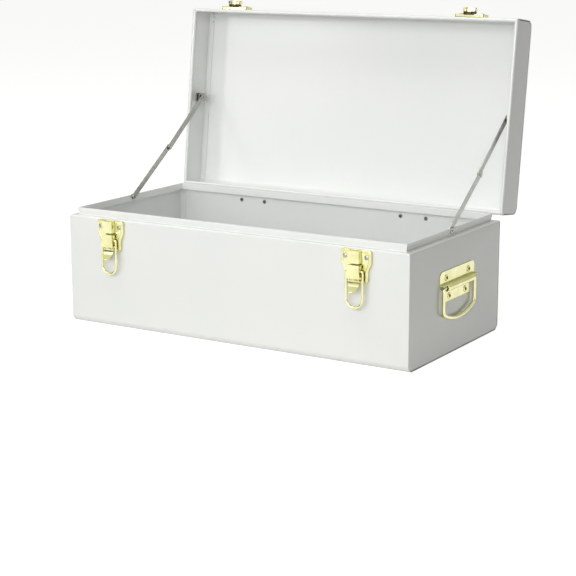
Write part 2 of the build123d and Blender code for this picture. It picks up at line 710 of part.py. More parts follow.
def hood_top():
    """Height from the shoulder of the hood's bearing edge, just under the raised loop."""
    return LOOP_REACH - LOOP_PIVOT_DROP - LOOP_WIRE - HOOD_CLEARANCE


def keeper():
    """Keeper, drawn closed: arched tray with the round-topped hood and its lip for the loop."""
    low = SPLIT_GAP + KEEPER_EDGE_RISE
    half = LATCH_WIDTH / 2
    face = make_face(
        [
            Line((-half, low), (half, low)),
            Line((half, low), (half, KEEPER_SHOULDER_RISE)),
            ThreePointArc((half, KEEPER_SHOULDER_RISE), (0, KEEPER_TOP_RISE), (-half, KEEPER_SHOULDER_RISE)),
            Line((-half, KEEPER_SHOULDER_RISE), (-half, low)),
        ]
    )
    face = fillet(face.vertices(), KEEPER_CORNER)
    plate = pressed_tray(face)
    plate -= tray_rivet_holes(KEEPER_RIVET_RISE)
    radius = BRIDGE_WIDTH / 2
    centre = hood_top() - radius
    crown = Pos(0, centre) * Circle(radius) + Pos(0, (low + centre) / 2) * Rectangle(2 * radius, centre - low)
    lip = Pos(0, centre) * Circle(radius + HOOD_LIP) - Pos(0, centre - radius) * Rectangle(4 * radius, 2 * radius)
    root = LATCH_TRAY_DEPTH - LATCH_SHEET
    walls = extrude(FRONT_VIEW.offset(root) * crown, BRIDGE_DEPTH - root)
    cap = extrude(FRONT_VIEW.offset(BRIDGE_DEPTH - HOOD_LIP_THICKNESS) * (lip + crown), HOOD_LIP_THICKNESS)
    hollow_face = Pos(0, centre) * Circle(radius - BRIDGE_SHEET)
    hollow_face += Pos(0, (low + centre) / 2 - EPS) * Rectangle(2 * (radius - BRIDGE_SHEET), centre - low + 2 * EPS)
    hollow = extrude(FRONT_VIEW.offset(root - EPS) * hollow_face, BRIDGE_DEPTH - BRIDGE_SHEET - root + EPS)
    return plate + walls + cap - hollow


def latch_parts():
    """Nodes of both latches and both keepers."""
    pieces = {
        "latch_plate_": latch_plate(),
        "latch_lever_": latch_lever(),
        "latch_lever_pin_": lever_pin(),
        "latch_loop_": latch_loop(),
        "keeper_": opened(keeper()),
    }
    nodes = {}
    for name, side in (("left", -1), ("right", 1)):
        for prefix, piece in pieces.items():
            nodes[prefix + name] = Pos(side * LATCH_X, 0, 0) * piece
    seat = -HALF_DEPTH - LATCH_TRAY_DEPTH
    sizes = (LATCH_TRAY_DEPTH + SHEET, RIVET_SHANK, RIVET_HEAD, RIVET_HEAD_HEIGHT, RIVET_BORE)
    nodes["latch_rivets"] = [rivet((x, seat, z), (0, -1, 0), *sizes) for x, z in latch_rivet_spots()]
    closed = [rivet((x, seat, z), (0, -1, 0), *sizes) for x, z in keeper_rivet_spots()]
    nodes["keeper_rivets"] = [opened(part) for part in closed]
    return nodes


# ---------------------------------------------------------------- handles


def handle_rivet_spots():
    """Places of the four rivets of a handle, as (y, z)."""
    upper = SHOULDER_HEIGHT - HANDLE_UPPER_RIVET_DROP
    lower = SHOULDER_HEIGHT - HANDLE_LOWER_RIVET_DROP
    spots = []
    for sign in (-1, 1):
        spots.append((sign * HANDLE_UPPER_RIVET_SPACING / 2, upper))
        spots.append((sign * HANDLE_LOWER_RIVET_SPACING / 2, lower))
    return spots


def handle_plate():
    """Right-hand handle plate: flat wings, wire channel across the middle, upper curl over both legs."""
    bore = HANDLE_TUBE_BORE / 2
    outer = bore + HANDLE_SHEET
    centre = (HANDLE_AXIS_DEPTH, -HANDLE_AXIS_DROP)
    ring = Pos(*centre) * Circle(outer)
    bore_face = Pos(*centre) * Circle(bore)
    saddle = Pos(HANDLE_AXIS_DEPTH / 2, centre[1]) * Rectangle(HANDLE_AXIS_DEPTH, 2 * outer)
    saddle_bore = Pos(HANDLE_AXIS_DEPTH / 2 - EPS, centre[1]) * Rectangle(HANDLE_AXIS_DEPTH + 2 * EPS, 2 * bore)
    tube = ring + saddle - bore_face - saddle_bore
    upper_z = (-HANDLE_TOP_DROP + centre[1] + outer) / 2
    upper_size = -HANDLE_TOP_DROP - centre[1] - outer
    lower_z = (-HANDLE_BOTTOM_DROP + centre[1] - outer) / 2
    lower_size = centre[1] - outer + HANDLE_BOTTOM_DROP
    wing = Pos(HANDLE_SHEET / 2, upper_z) * Rectangle(HANDLE_SHEET, upper_size + 2 * EPS)
    foot = Pos(HANDLE_SHEET / 2, lower_z) * Rectangle(HANDLE_SHEET, lower_size + 2 * EPS)
    middle = extrude(END_SIDE * (tube + foot), HANDLE_TUBE_WIDTH / 2, both=True)
    foot_trim = (HANDLE_TUBE_WIDTH - HANDLE_LOWER_WIDTH) / 2
    for sign in (-1, 1):
        span = sorted((sign * HANDLE_LOWER_WIDTH / 2, sign * (HANDLE_LOWER_WIDTH / 2 + foot_trim + EPS)))
        low = SHOULDER_HEIGHT - HANDLE_BOTTOM_DROP - EPS
        high = SHOULDER_HEIGHT + centre[1] - outer
        middle -= block((HALF_WIDTH - EPS, HALF_WIDTH + HANDLE_SHEET + EPS), span, (low, high))
    far = 2 * outer
    cut = outline(
        [
            centre,
            (centre[0] + far, centre[1] + far * math.tan(math.radians(HANDLE_CURL_END))),
            (centre[0] + far, centre[1] - far),
            (-EPS, centre[1] - far),
            (-EPS, centre[1]),
        ]
    )
    curl = extrude(END_SIDE * (tube - cut), HANDLE_WIDTH / 2 - HANDLE_CURL_INSET, both=True)
    flat = extrude(END_SIDE * wing, HANDLE_WIDTH / 2, both=True)
    upper_edges = flat.edges().filter_by(Axis.X).group_by(Axis.Z)[-1]
    flat = fillet(upper_edges, HANDLE_CORNER)
    plate = flat + curl + middle
    for y, z in handle_rivet_spots():
        plate -= rod((HALF_WIDTH - EPS, y, z), (1, 0, 0), HANDLE_SHEET + 2 * EPS, EYELET_SHANK / 2)
    return plate


def handle_bail():
    """Right-hand bail, hanging: ends in the channel, straight legs, round corners and a bowed grip."""
    half = BAIL_SPACING / 2
    bow_half = math.degrees(math.asin((half - BAIL_CORNER) / (BAIL_BOW_RADIUS - BAIL_CORNER)))
    turn = 90 - bow_half
    sagitta = BAIL_BOW_RADIUS * (1 - math.cos(math.radians(bow_half)))
    corner_drop = BAIL_CORNER * math.sin(math.radians(turn))
    leg = BAIL_DROP - BAIL_BEND - corner_drop - sagitta
    steps = [
        (BAIL_STUB, BAIL_BEND, 90),
        (leg, BAIL_CORNER, turn),
        (0, BAIL_BOW_RADIUS, 2 * bow_half),
        (0, BAIL_CORNER, turn),
        (leg, BAIL_BEND, 90),
        (BAIL_STUB, 0, 0),
    ]
    start = (-half + BAIL_BEND + BAIL_STUB, -HANDLE_AXIS_DROP)
    return bent_wire(END_VIEW.offset(HANDLE_AXIS_DEPTH), start, (-1, 0), steps, BAIL_WIRE / 2)


def handle_parts():
    """Nodes of both handles."""
    nodes = {}
    for prefix, piece in (("handle_plate_", handle_plate()), ("handle_bail_", handle_bail())):
        for side, part in both_sides(piece).items():
            nodes[prefix + side] = part
    sizes = (HANDLE_SHEET + SHEET, EYELET_SHANK, EYELET_HEAD, EYELET_HEAD_HEIGHT, EYELET_BORE)
    rivets = []
    for y, z in handle_rivet_spots():
        part = eyelet((HALF_WIDTH + HANDLE_SHEET, y, z), (1, 0, 0), *sizes)
        rivets += both_sides(part).values()
    nodes["handle_rivets"] = rivets
    return nodes


# ---------------------------------------------------------------- stays


def stay_foot():
    """Lower pivot of the right-hand stay, on the rim."""
    return (0.0, SHOULDER_HEIGHT + STAY_FOOT_RISE)


def stay_top(is_open):
    """Upper pivot of the right-hand stay, on the lid, as (y, z)."""
    closed = (0.0, 0.0, SHOULDER_HEIGHT + STAY_TOP_RISE)
    point = opened_point(closed) if is_open else closed
    return (point[1], point[2])


def stay_length():
    """Length of each link between its pivots: together a little more than the open distance."""
    foot, top = stay_foot(), stay_top(True)
    return (math.dist(foot, top) + STAY_SLACK) / 2


def stay_middle(is_open):
    """Middle joint of the stay: behind the straight line between its ends."""
    foot, top = stay_foot(), stay_top(is_open)
    span = math.dist(foot, top)
    offset_length = math.sqrt(stay_length() ** 2 - (span / 2) ** 2)
    along = ((top[0] - foot[0]) / span, (top[1] - foot[1]) / span)
    middle = ((foot[0] + top[0]) / 2, (foot[1] + top[1]) / 2)
    return (middle[0] + along[1] * offset_length, middle[1] - along[0] * offset_length)


def stay_turns():
    """Degrees that the lower and the upper link turn about +X, relative to what carries each, on closing."""

    def bearing(start, end):
        return math.degrees(math.atan2(end[1] - start[1], end[0] - start[0]))

    lower = bearing(stay_foot(), stay_middle(False)) - bearing(stay_foot(), stay_middle(True))
    upper = bearing(stay_top(False), stay_middle(False)) - bearing(stay_top(True), stay_middle(True))
    return lower, upper - LID_OPEN_ANGLE


def stay_link(outer_x, start, end, nib_side):
    """Flat link with round ends and two holes, lying against its outer face at the right-hand side."""
    half = STAY_WIDTH / 2
    length = math.dist(start, end)
    face = Pos(length / 2, 0) * SlotCenterToCenter(length, STAY_WIDTH)
    if nib_side:
        nib_height = half + STAY_NIB_RISE
        face += Pos(length, nib_side * nib_height / 2) * Rectangle(STAY_NIB, nib_height)
    for x in (0, length):
        face -= Pos(x, 0) * Circle(STAY_RIVET_DIAMETER / 2 + RUNNING_CLEARANCE)
    direction = (0, end[0] - start[0], end[1] - start[1])
    plane = Plane(origin=(outer_x - STAY_SHEET, start[0], start[1]), x_dir=direction, z_dir=(1, 0, 0))
    return extrude(plane * face, STAY_SHEET)


def stay_bracket():
    """Bracket in the lid, drawn closed: foot on the end panel, web inwards, drop tab for the pivot."""
    top = stay_top(False)
    half = BRACKET_WIDTH / 2
    inner = HALF_WIDTH - SHEET
    tab_outer = STAY_OUTER_X
    tab_inner = tab_outer - BRACKET_SHEET
    web_top = top[1] + BRACKET_FOOT
    corners = [
        (tab_inner, top[1] - half),
        (tab_inner, web_top),
        (inner, web_top),
        (inner, top[1]),
    ]
    section = folded(corners, [BRACKET_BEND, BRACKET_BEND], BRACKET_SHEET, side=Side.RIGHT)
    strip = extrude(Plane.XZ * section, half, both=True)
    drop = strip.edges().filter_by(Axis.X).group_by(Axis.Z)[0]
    strip = fillet(drop, half - EPS)
    start = (tab_inner - EPS, top[0], top[1])
    return strip - rod(start, (1, 0, 0), BRACKET_SHEET + 2 * EPS, STAY_RIVET_DIAMETER / 2)


def stay_rivet(x_seat, direction, point, grip, tail_side):
    """Pivot rivet of a stay: head on its seat and shank through the grip, with a rolled tail where asked."""
    shank = STAY_RIVET_DIAMETER
    if tail_side:
        return eyelet(
            (x_seat, point[0], point[1]), (direction, 0, 0), grip, shank, STAY_HEAD, STAY_HEAD_HEIGHT, STAY_RIVET_BORE
        )
    start = (x_seat + direction * STAY_HEAD_HEIGHT, point[0], point[1])
    pin = rod(start, (-direction, 0, 0), grip + STAY_HEAD_HEIGHT, shank / 2)
    head = rod(start, (-direction, 0, 0), STAY_HEAD_HEIGHT, STAY_HEAD / 2)
    edge = head.edges().sort_by(Axis.X)[-1 if direction > 0 else 0]
    return pin + chamfer(edge, STAY_HEAD_BEVEL)


def stay_parts():
    """Nodes of both stays."""
    foot = stay_foot()
    top_open, top_closed = stay_top(True), stay_top(False)
    middle = stay_middle(True)
    rim_outer = HALF_WIDTH - RIM_INSET + SHEET
    foot_grip = rim_outer - STAY_OUTER_X + STAY_SHEET + STAY_RIVET_PLAY
    top_grip = STAY_OUTER_X - STAY_INNER_X + STAY_SHEET + STAY_RIVET_PLAY
    right = {
        "stay_lower_": stay_link(STAY_OUTER_X, foot, middle, -1),
        "stay_upper_": stay_link(STAY_INNER_X, top_open, middle, 0),
        "stay_bracket_": opened(stay_bracket()),
        "stay_rivet_outer_": stay_rivet(STAY_OUTER_X, 1, middle, STAY_SHEET, False),
        "stay_rivet_inner_": stay_rivet(STAY_INNER_X - STAY_SHEET, -1, middle, STAY_SHEET, False),
    }
    nodes = {}
    for prefix, piece in right.items():
        for side, part in both_sides(piece).items():
            nodes[prefix + side] = part
    foot_rivet = stay_rivet(rim_outer, 1, foot, foot_grip, True)
    top_rivet = opened(stay_rivet(STAY_OUTER_X, 1, top_closed, top_grip, True))
    nodes["stay_foot_rivets"] = list(both_sides(foot_rivet).values())
    nodes["stay_top_rivets"] = list(both_sides(top_rivet).values())
    return nodes


# ---------------------------------------------------------------- the whole trunk


def trunk():
    """Every node of the trunk by name."""
    nodes = {"body_shell_wrap": body_shell_wrap(), "lid_shell_wrap": opened(lid_shell_wrap())}
    for side, part in both_sides(body_end()).items():
        nodes["body_end_" + side] = part
    for side, part in both_sides(lid_end()).items():
        nodes["lid_end_" + side] = opened(part)
    nodes.update(hinge_parts())
    nodes.update(latch_parts())
    nodes.update(handle_parts())
    nodes.update(stay_parts())
    return nodes


def main():
    """Builds every node and writes it to its own file."""
    os.makedirs("parts", exist_ok=True)
    for name, part in trunk().items():
        solids = part if isinstance(part, list) else [part]
        export_step(Compound(children=[Compound(item.wrapped) for item in solids]), f"parts/{name}.step")


if __name__ == "__main__":
    main()
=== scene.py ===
"""Looks of a small sheet-steel trunk.

White enamel on folded sheet, pale brass fittings and nickel-plated stays.
"""

import json
import logging
import math
from dataclasses import dataclass
from enum import Enum
from typing import Callable, Protocol, Sequence

import bmesh
import bpy
from mathutils import Matrix, Vector

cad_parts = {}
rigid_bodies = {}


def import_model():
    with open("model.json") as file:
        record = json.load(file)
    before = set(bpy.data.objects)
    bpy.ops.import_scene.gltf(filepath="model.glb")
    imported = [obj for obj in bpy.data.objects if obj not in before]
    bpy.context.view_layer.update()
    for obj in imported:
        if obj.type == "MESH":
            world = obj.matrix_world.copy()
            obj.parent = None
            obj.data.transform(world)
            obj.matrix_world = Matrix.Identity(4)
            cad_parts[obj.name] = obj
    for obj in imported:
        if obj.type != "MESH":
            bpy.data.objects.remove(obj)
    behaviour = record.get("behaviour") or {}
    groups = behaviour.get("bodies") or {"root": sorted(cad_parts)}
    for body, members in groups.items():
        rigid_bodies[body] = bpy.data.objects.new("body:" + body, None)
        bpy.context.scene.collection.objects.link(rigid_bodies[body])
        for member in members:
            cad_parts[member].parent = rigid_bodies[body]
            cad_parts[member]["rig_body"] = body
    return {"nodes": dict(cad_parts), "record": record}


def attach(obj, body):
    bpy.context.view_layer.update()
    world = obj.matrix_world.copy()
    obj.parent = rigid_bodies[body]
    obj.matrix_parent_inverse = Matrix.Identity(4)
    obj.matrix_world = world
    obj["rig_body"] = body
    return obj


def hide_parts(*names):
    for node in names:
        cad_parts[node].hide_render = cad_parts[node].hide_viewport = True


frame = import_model()
LOG = logging.getLogger("small_tin_trunk")
MERGE_DISTANCE = 2e-6
FLAT_ANGLE = math.radians(0.4)
CREASE_ANGLE = math.radians(32)
IMAGE_PIXELS = 576
CREASE_SAMPLES = 16
NOISE_MIDDLE = 0.5
Colour = tuple[float, float, float]
Reshape = Callable[[bmesh.types.BMesh], None]


class Side(Enum):
    """The trunk's two halves, by the sign of X."""

    LEFT = -1
    RIGHT = 1

    @property
    def word(self) -> str:
        """The side's name as it ends a node's name."""
        return self.name.lower()


class Slot(Enum):
    """The record's material slots."""

    PAINT = "white_paint"
    BRASS = "brass_plate"
    NICKEL = "nickel_plate"


# ---------------------------------------------------------------- shader helpers


class Bench:
    """Adds and joins the nodes of one shader tree."""

    def __init__(self, tree: bpy.types.NodeTree) -> None:
        """Keeps the tree that the nodes go into.

        Args:
            tree: a material's, world's or group's node tree.
        """
        self.tree = tree

    def add(self, kind: str, **settings: object) -> bpy.types.Node:
        """Adds a node.

        Args:
            kind: the node's type, without its ShaderNode prefix.
            settings: properties by name, and unlinked inputs by name with in_ before it.

        Returns:
            The new node.
        """
        node = self.tree.nodes.new(kind if kind.startswith("Node") else "ShaderNode" + kind)
        for name, value in settings.items():
            if name.startswith("in_"):
                node.inputs[name[3:].replace("_", " ")].default_value = value
            else:
                setattr(node, name, value)
        return node

    def join(self, source: bpy.types.NodeSocket, target: bpy.types.NodeSocket) -> None:
        """Links an output to an input.

        Args:
            source: the output.
            target: the input.
        """
        self.tree.links.new(source, target)

    def between(
        self, amount: bpy.types.NodeSocket, low: Colour, high: Colour
    ) -> bpy.types.NodeSocket:
        """Mixes two colours.

        Args:
            amount: output that gives 0 for the first colour and 1 for the second.
            low: linear colour at 0.
            high: linear colour at 1.

        Returns:
            The mixed colour's output.
        """
        mix = self.add("Mix", data_type="RGBA")
        self.join(amount, mix.inputs["Factor"])
        first, second = [s for s in mix.inputs if s.type == "RGBA"]
        first.default_value = (*low, 1)
        second.default_value = (*high, 1)
        return next(s for s in mix.outputs if s.type == "RGBA")

    def over(
        self, amount: bpy.types.NodeSocket, base: bpy.types.NodeSocket, top: Colour
    ) -> bpy.types.NodeSocket:
        """Lays a plain colour over a patterned one.

        Args:
            amount: output that gives how much of the top colour shows.
            base: the patterned colour's output.
            top: linear colour laid over it.

        Returns:
            The resulting colour's output.
        """
        mix = self.add("Mix", data_type="RGBA")
        self.join(amount, mix.inputs["Factor"])
        first, second = [s for s in mix.inputs if s.type == "RGBA"]
        self.join(base, first)
        second.default_value = (*top, 1)
        return next(s for s in mix.outputs if s.type == "RGBA")

    def choose(
        self, amount: bpy.types.NodeSocket, low: bpy.types.NodeSocket, high: bpy.types.NodeSocket
    ) -> bpy.types.NodeSocket:
        """Blends two values.

        Args:
            amount: output that gives 0 for the first value and 1 for the second.
            low: the first value's output.
            high: the second value's output.

        Returns:
            The blended value's output.
        """
        mix = self.add("Mix", data_type="FLOAT")
        factor, first, second = [s for s in mix.inputs if s.type == "VALUE"]
        self.join(amount, factor)
        self.join(low, first)
        self.join(high, second)
        return next(s for s in mix.outputs if s.type == "VALUE")

    def larger(
        self, one: bpy.types.NodeSocket, other: bpy.types.NodeSocket
    ) -> bpy.types.NodeSocket:
        """Takes the larger of two values.

        Args:
            one: the first value's output.
            other: the second value's output.

        Returns:
            The larger value's output.
        """
        node = self.add("Math", operation="MAXIMUM")
        self.join(one, node.inputs[0])
        self.join(other, node.inputs[1])
        return node.outputs[0]

    def total(self, one: bpy.types.NodeSocket, other: bpy.types.NodeSocket) -> bpy.types.NodeSocket:
        """Adds two values.

        Args:
            one: the first value's output.
            other: the second value's output.

        Returns:
            The sum's output.
        """
        node = self.add("Math", operation="ADD")
        self.join(one, node.inputs[0])
        self.join(other, node.inputs[1])
        return node.outputs[0]

    def spread(self, value: bpy.types.NodeSocket, low: float, high: float) -> bpy.types.NodeSocket:
        """Maps a value from 0..1 to a range.

        Args:
            value: output with the value.
            low: result at 0.
            high: result at 1.

        Returns:
            The mapped value's output.
        """
        node = self.add("MapRange")
        self.join(value, node.inputs["Value"])
        node.inputs["To Min"].default_value = low
        node.inputs["To Max"].default_value = high
        return node.outputs["Result"]


class Group:
    """A shader node group with named inputs and outputs, built once for several finishes."""

    def __init__(self, name: str, inputs: dict[str, float], outputs: dict[str, str]) -> None:
        """Makes the empty group.

        Args:
            name: the group's name.
            inputs: plain inputs and their values; a Vector input is always there.
            outputs: outputs and their socket types.
        """
        self.tree = bpy.data.node_groups.new(name, "ShaderNodeTree")
        self.bench = Bench(self.tree)
        sockets = self.tree.interface
        sockets.new_socket(name="Vector", in_out="INPUT", socket_type="NodeSocketVector")
        for key, value in inputs.items():
            socket = sockets.new_socket(name=key, in_out="INPUT", socket_type="NodeSocketFloat")
            socket.default_value = value
        for key, kind in outputs.items():
            sockets.new_socket(name=key, in_out="OUTPUT", socket_type=kind)
        self.source = self.bench.add("NodeGroupInput").outputs
        self.sink = self.bench.add("NodeGroupOutput").inputs

    def place(self, bench: Bench, vector: bpy.types.NodeSocket, **values: float) -> bpy.types.Node:
        """Places the group in a material.

        Args:
            bench: the material's bench.
            vector: output with the coordinates.
            values: the group's inputs by name, spaces as underlines.

        Returns:
            The placed node.
        """
        node = bench.tree.nodes.new("ShaderNodeGroup")
        node.node_tree = self.tree
        bench.join(vector, node.inputs["Vector"])
        for name, value in values.items():
            node.inputs[name.replace("_", " ")].default_value = value
        return node


def mottle_group() -> Group:
    """Builds the cloudy mask that breaks up a colour or a gloss.

    Returns:
        Group with Scale and Contrast inputs and a Mask output from 0 to 1.
    """
    group = Group("mottle", {"Scale": 10.0, "Contrast": 0.3}, {"Mask": "NodeSocketFloat"})
    bench = group.bench
    noise = bench.add("TexNoise", in_Detail=4.0, in_Roughness=0.55)
    bench.join(group.source["Vector"], noise.inputs["Vector"])
    bench.join(group.source["Scale"], noise.inputs["Scale"])
    ramp = bench.add("MapRange")
    bench.join(noise.outputs[0], ramp.inputs["Value"])
    for operation, end in (("SUBTRACT", "From Min"), ("ADD", "From Max")):
        edge = bench.add("Math", operation=operation)
        edge.inputs[0].default_value = NOISE_MIDDLE
        bench.join(group.source["Contrast"], edge.inputs[1])
        bench.join(edge.outputs[0], ramp.inputs[end])
    bench.join(ramp.outputs["Result"], group.sink["Mask"])
    return group


def ripple_group() -> Group:
    """Builds the surface relief of sprayed enamel or polished plate: long waves and a fine peel.

    Returns:
        Group whose Height output is in metres.
    """
    inputs = {
        "Wave Scale": 7.0,
        "Wave Height": 0.0004,
        "Peel Scale": 500.0,
        "Peel Height": 0.00001,
    }
    group = Group("ripple", inputs, {"Height": "NodeSocketFloat"})
    bench = group.bench
    heights = []
    for kind, detail in (("Wave", 1.0), ("Peel", 2.0)):
        noise = bench.add("TexNoise", in_Detail=detail)
        bench.join(group.source["Vector"], noise.inputs["Vector"])
        bench.join(group.source[kind + " Scale"], noise.inputs["Scale"])
        scaled = bench.add("Math", operation="MULTIPLY")
        bench.join(noise.outputs[0], scaled.inputs[0])
        bench.join(group.source[kind + " Height"], scaled.inputs[1])
        heights.append(scaled.outputs[0])
    bench.join(bench.total(*heights), group.sink["Height"])
    return group


def scratch_group() -> Group:
    """Builds the fine polishing lines of plated metal, stretched along one axis.

    Returns:
        Group with Scale and Stretch inputs and a Mask output from 0 to 1.
    """
    slant_axis, slant = (0.3, 0.2, 1.0), 0.35
    group = Group("scratches", {"Scale": 900.0, "Stretch": 0.06}, {"Mask": "NodeSocketFloat"})
    bench = group.bench
    squeeze = bench.add("CombineXYZ", in_Y=1.0, in_Z=1.0)
    bench.join(group.source["Stretch"], squeeze.inputs["X"])
    turned = bench.add(
        "VectorRotate", rotation_type="AXIS_ANGLE", in_Axis=slant_axis, in_Angle=slant
    )
    bench.join(group.source["Vector"], turned.inputs["Vector"])
    long = bench.add("VectorMath", operation="MULTIPLY")
    bench.join(turned.outputs["Vector"], long.inputs[0])
    bench.join(squeeze.outputs["Vector"], long.inputs[1])
    noise = bench.add("TexNoise", in_Detail=3.0, in_Roughness=0.6)
    bench.join(long.outputs["Vector"], noise.inputs["Vector"])
    bench.join(group.source["Scale"], noise.inputs["Scale"])
    bench.join(noise.outputs[0], group.sink["Mask"])
    return group


@dataclass(frozen=True)
class Effects:
    """The shared node groups."""

    mottle: Group
    ripple: Group
    scratches: Group

    @classmethod
    def build(cls) -> "Effects":
        """Builds each group once.

        Returns:
            The three groups.
        """
        return cls(mottle_group(), ripple_group(), scratch_group())


# ---------------------------------------------------------------- finishes


class Finish(Protocol):
    """A finish that can make its material."""

    name: str
    slot: Slot

    def build(self, effects: Effects) -> bpy.types.Material:
        """Makes the material.

        Args:
            effects: the shared node groups.

        Returns:
            The material.
        """


def new_surface(name: str) -> tuple[bpy.types.Material, Bench, bpy.types.Node]:
    """Makes an empty material.

    Args:
        name: the material's name.

    Returns:
        The material, its bench and its Principled shader.
    """
    material = bpy.data.materials.new(name)
    material.use_nodes = True
    bench = Bench(material.node_tree)
    shader = next(n for n in material.node_tree.nodes if n.type == "BSDF_PRINCIPLED")
    return material, bench, shader


@dataclass(frozen=True)
class WhiteEnamel:
    """Sprayed glossy white enamel on thin sheet steel."""

    name: str = "white_enamel"
    slot: Slot = Slot.PAINT
    cool: Colour = (0.800, 0.815, 0.815)
    warm: Colour = (0.832, 0.838, 0.831)
    # painted shade: the colour laid into creases and corners, how far the darkening reaches and how
    # strong it is
    grime: Colour = (0.42, 0.41, 0.36)
    grime_reach: float = 0.004
    grime_share: float = 0.25
    roughness: tuple[float, float] = (0.17, 0.21)
    coat_weight: float = 0.5
    coat_roughness: float = 0.06
    cloud_scale: float = 9.0
    cloud_contrast: float = 0.25
    handling_scale: float = 14.0
    handling_contrast: float = 0.3
    wave_scale: float = 5.5
    wave_height: float = 0.00035
    peel_height: float = 0.000004

    def build(self, effects: Effects) -> bpy.types.Material:
        """Makes the enamel.

        Args:
            effects: the shared node groups.

        Returns:
            The material.
        """
        material, bench, shader = new_surface(self.name)
        at = bench.add("TexCoord").outputs["Object"]
        cloud = effects.mottle.place(
            bench, at, Scale=self.cloud_scale, Contrast=self.cloud_contrast
        )
        colour = bench.between(cloud.outputs["Mask"], self.cool, self.warm)
        # painted shade: an occlusion mask darkens the enamel towards the crease colour where shade
        # falls in creases and corners
        crease = bench.add(
            "AmbientOcclusion", samples=CREASE_SAMPLES, in_Distance=self.grime_reach
        )
        crease_shaded = bench.spread(crease.outputs["AO"], self.grime_share, 0.0)
        bench.join(bench.over(crease_shaded, colour, self.grime), shader.inputs["Base Color"])
        handled = effects.mottle.place(
            bench, at, Scale=self.handling_scale, Contrast=self.handling_contrast
        )
        gloss = bench.spread(handled.outputs["Mask"], *self.roughness)
        bench.join(gloss, shader.inputs["Roughness"])
        relief = effects.ripple.place(
            bench,
            at,
            Wave_Height=self.wave_height,
            Wave_Scale=self.wave_scale,
            Peel_Height=self.peel_height,
        )
        bump = bench.add("Bump", in_Strength=1.0, in_Distance=1.0)
        bench.join(relief.outputs["Height"], bump.inputs["Height"])
        bench.join(bump.outputs["Normal"], shader.inputs["Normal"])
        shader.inputs["Coat Weight"].default_value = self.coat_weight
        shader.inputs["Coat Roughness"].default_value = self.coat_roughness
        return material


@dataclass(frozen=True)
class PlatedMetal:
    """Bright plate on pressed steel, polished along one way, with painted shade darkening its
    creases.
    """

    name: str
    slot: Slot
    bright: Colour
    deep: Colour
    # painted shade: the colour laid into creases and hollows; how far it reaches and how strong it
    # is are set further down
    tarnish: Colour
    roughness: tuple[float, float]
    tarnish_reach: float = 0.0022
    tarnish_share: float = 0.7
    cloud_scale: float = 60.0
    rub_scale: float = 220.0
    mottle_contrast: float = 0.25
    line_scale: float = 1500.0
    line_height: float = 0.0000022
    wave_scale: float = 100.0
    wave_height: float = 0.00012
    peel_scale: float = 1400.0
    peel_height: float = 0.000002

    def build(self, effects: Effects) -> bpy.types.Material:
        """Makes the plate.

        Args:
            effects: the shared node groups.

        Returns:
            The material.
        """
        material, bench, shader = new_surface(self.name)
        at = bench.add("TexCoord").outputs["Object"]
        cloud = effects.mottle.place(
            bench, at, Scale=self.cloud_scale, Contrast=self.mottle_contrast
        )
        colour = bench.between(cloud.outputs["Mask"], self.deep, self.bright)
        # painted shade: an occlusion mask darkens the plate towards the hollow colour in creases
        # and hollows
        crease = bench.add(
            "AmbientOcclusion", samples=CREASE_SAMPLES, in_Distance=self.tarnish_reach
        )
        hollow_shaded = bench.spread(crease.outputs["AO"], self.tarnish_share, 0.0)
        bench.join(bench.over(hollow_shaded, colour, self.tarnish), shader.inputs["Base Color"])
        rubbed = effects.mottle.place(
            bench, at, Scale=self.rub_scale, Contrast=self.mottle_contrast
        )
        gloss = bench.spread(rubbed.outputs["Mask"], *self.roughness)
        bench.join(gloss, shader.inputs["Roughness"])
        lines = effects.scratches.place(bench, at, Scale=self.line_scale)
        height = bench.spread(lines.outputs["Mask"], 0.0, self.line_height)
        relief = effects.ripple.place(
            bench,
            at,
            Wave_Height=self.wave_height,
            Wave_Scale=self.wave_scale,
            Peel_Height=self.peel_height,
            Peel_Scale=self.peel_scale,
        )
        bump = bench.add("Bump", in_Strength=1.0, in_Distance=1.0)
        bench.join(bench.total(height, relief.outputs["Height"]), bump.inputs["Height"])
        bench.join(bump.outputs["Normal"], shader.inputs["Normal"])
        shader.inputs["Metallic"].default_value = 1.0
        return material


ENAMEL = WhiteEnamel()
BRASS = PlatedMetal(
    name="pale_brass",
    slot=Slot.BRASS,
    bright=(0.80, 0.79, 0.50),
    deep=(0.66, 0.62, 0.29),
    tarnish=(0.13, 0.11, 0.03),
    roughness=(0.09, 0.17),
)
# painted shade: near-black brass for slot roots, the slot's back and rivet bores, standing in for
# the shade there
SHADE_BRASS = PlatedMetal(
    name="dull_brass",
    slot=Slot.BRASS,
    bright=(0.12, 0.10, 0.04),
    deep=(0.07, 0.06, 0.02),
    tarnish=(0.02, 0.02, 0.01),
    roughness=(0.40, 0.60),
)
NICKEL = PlatedMetal(
    name="dull_nickel",
    slot=Slot.NICKEL,
    bright=(0.42, 0.42, 0.40),
    deep=(0.30, 0.30, 0.28),
    tarnish=(0.06, 0.06, 0.05),
    roughness=(0.16, 0.26),
)
WELD_SCALE = PlatedMetal(
    name="weld_scale",
    slot=Slot.PAINT,
    bright=(0.24, 0.24, 0.22),
    deep=(0.14, 0.14, 0.13),
    tarnish=(0.05, 0.05, 0.05),
    roughness=(0.40, 0.60),
)
FINISH_BY_SLOT: dict[str, Finish] = {
    finish.slot.value: finish for finish in (ENAMEL, BRASS, NICKEL)
}
SLOT_BY_NODE: dict[str, str] = {
    part["node"]: part["material_slot"] for part in frame["record"]["subparts"]
}


class Paintbox:
    """Makes each finish once and hands it out."""

    def __init__(self) -> None:
        """Builds the shared groups and starts with no materials."""
        self.effects = Effects.build()
        self.made: dict[str, bpy.types.Material] = {}

    def get(self, finish: Finish) -> bpy.types.Material:
        """Gives a finish's material, made on first use.

        Args:
            finish: the finish.

        Returns:
            Its material.
        """
        if finish.name not in self.made:
            self.made[finish.name] = finish.build(self.effects)
        return self.made[finish.name]


# ---------------------------------------------------------------- mesh helpers


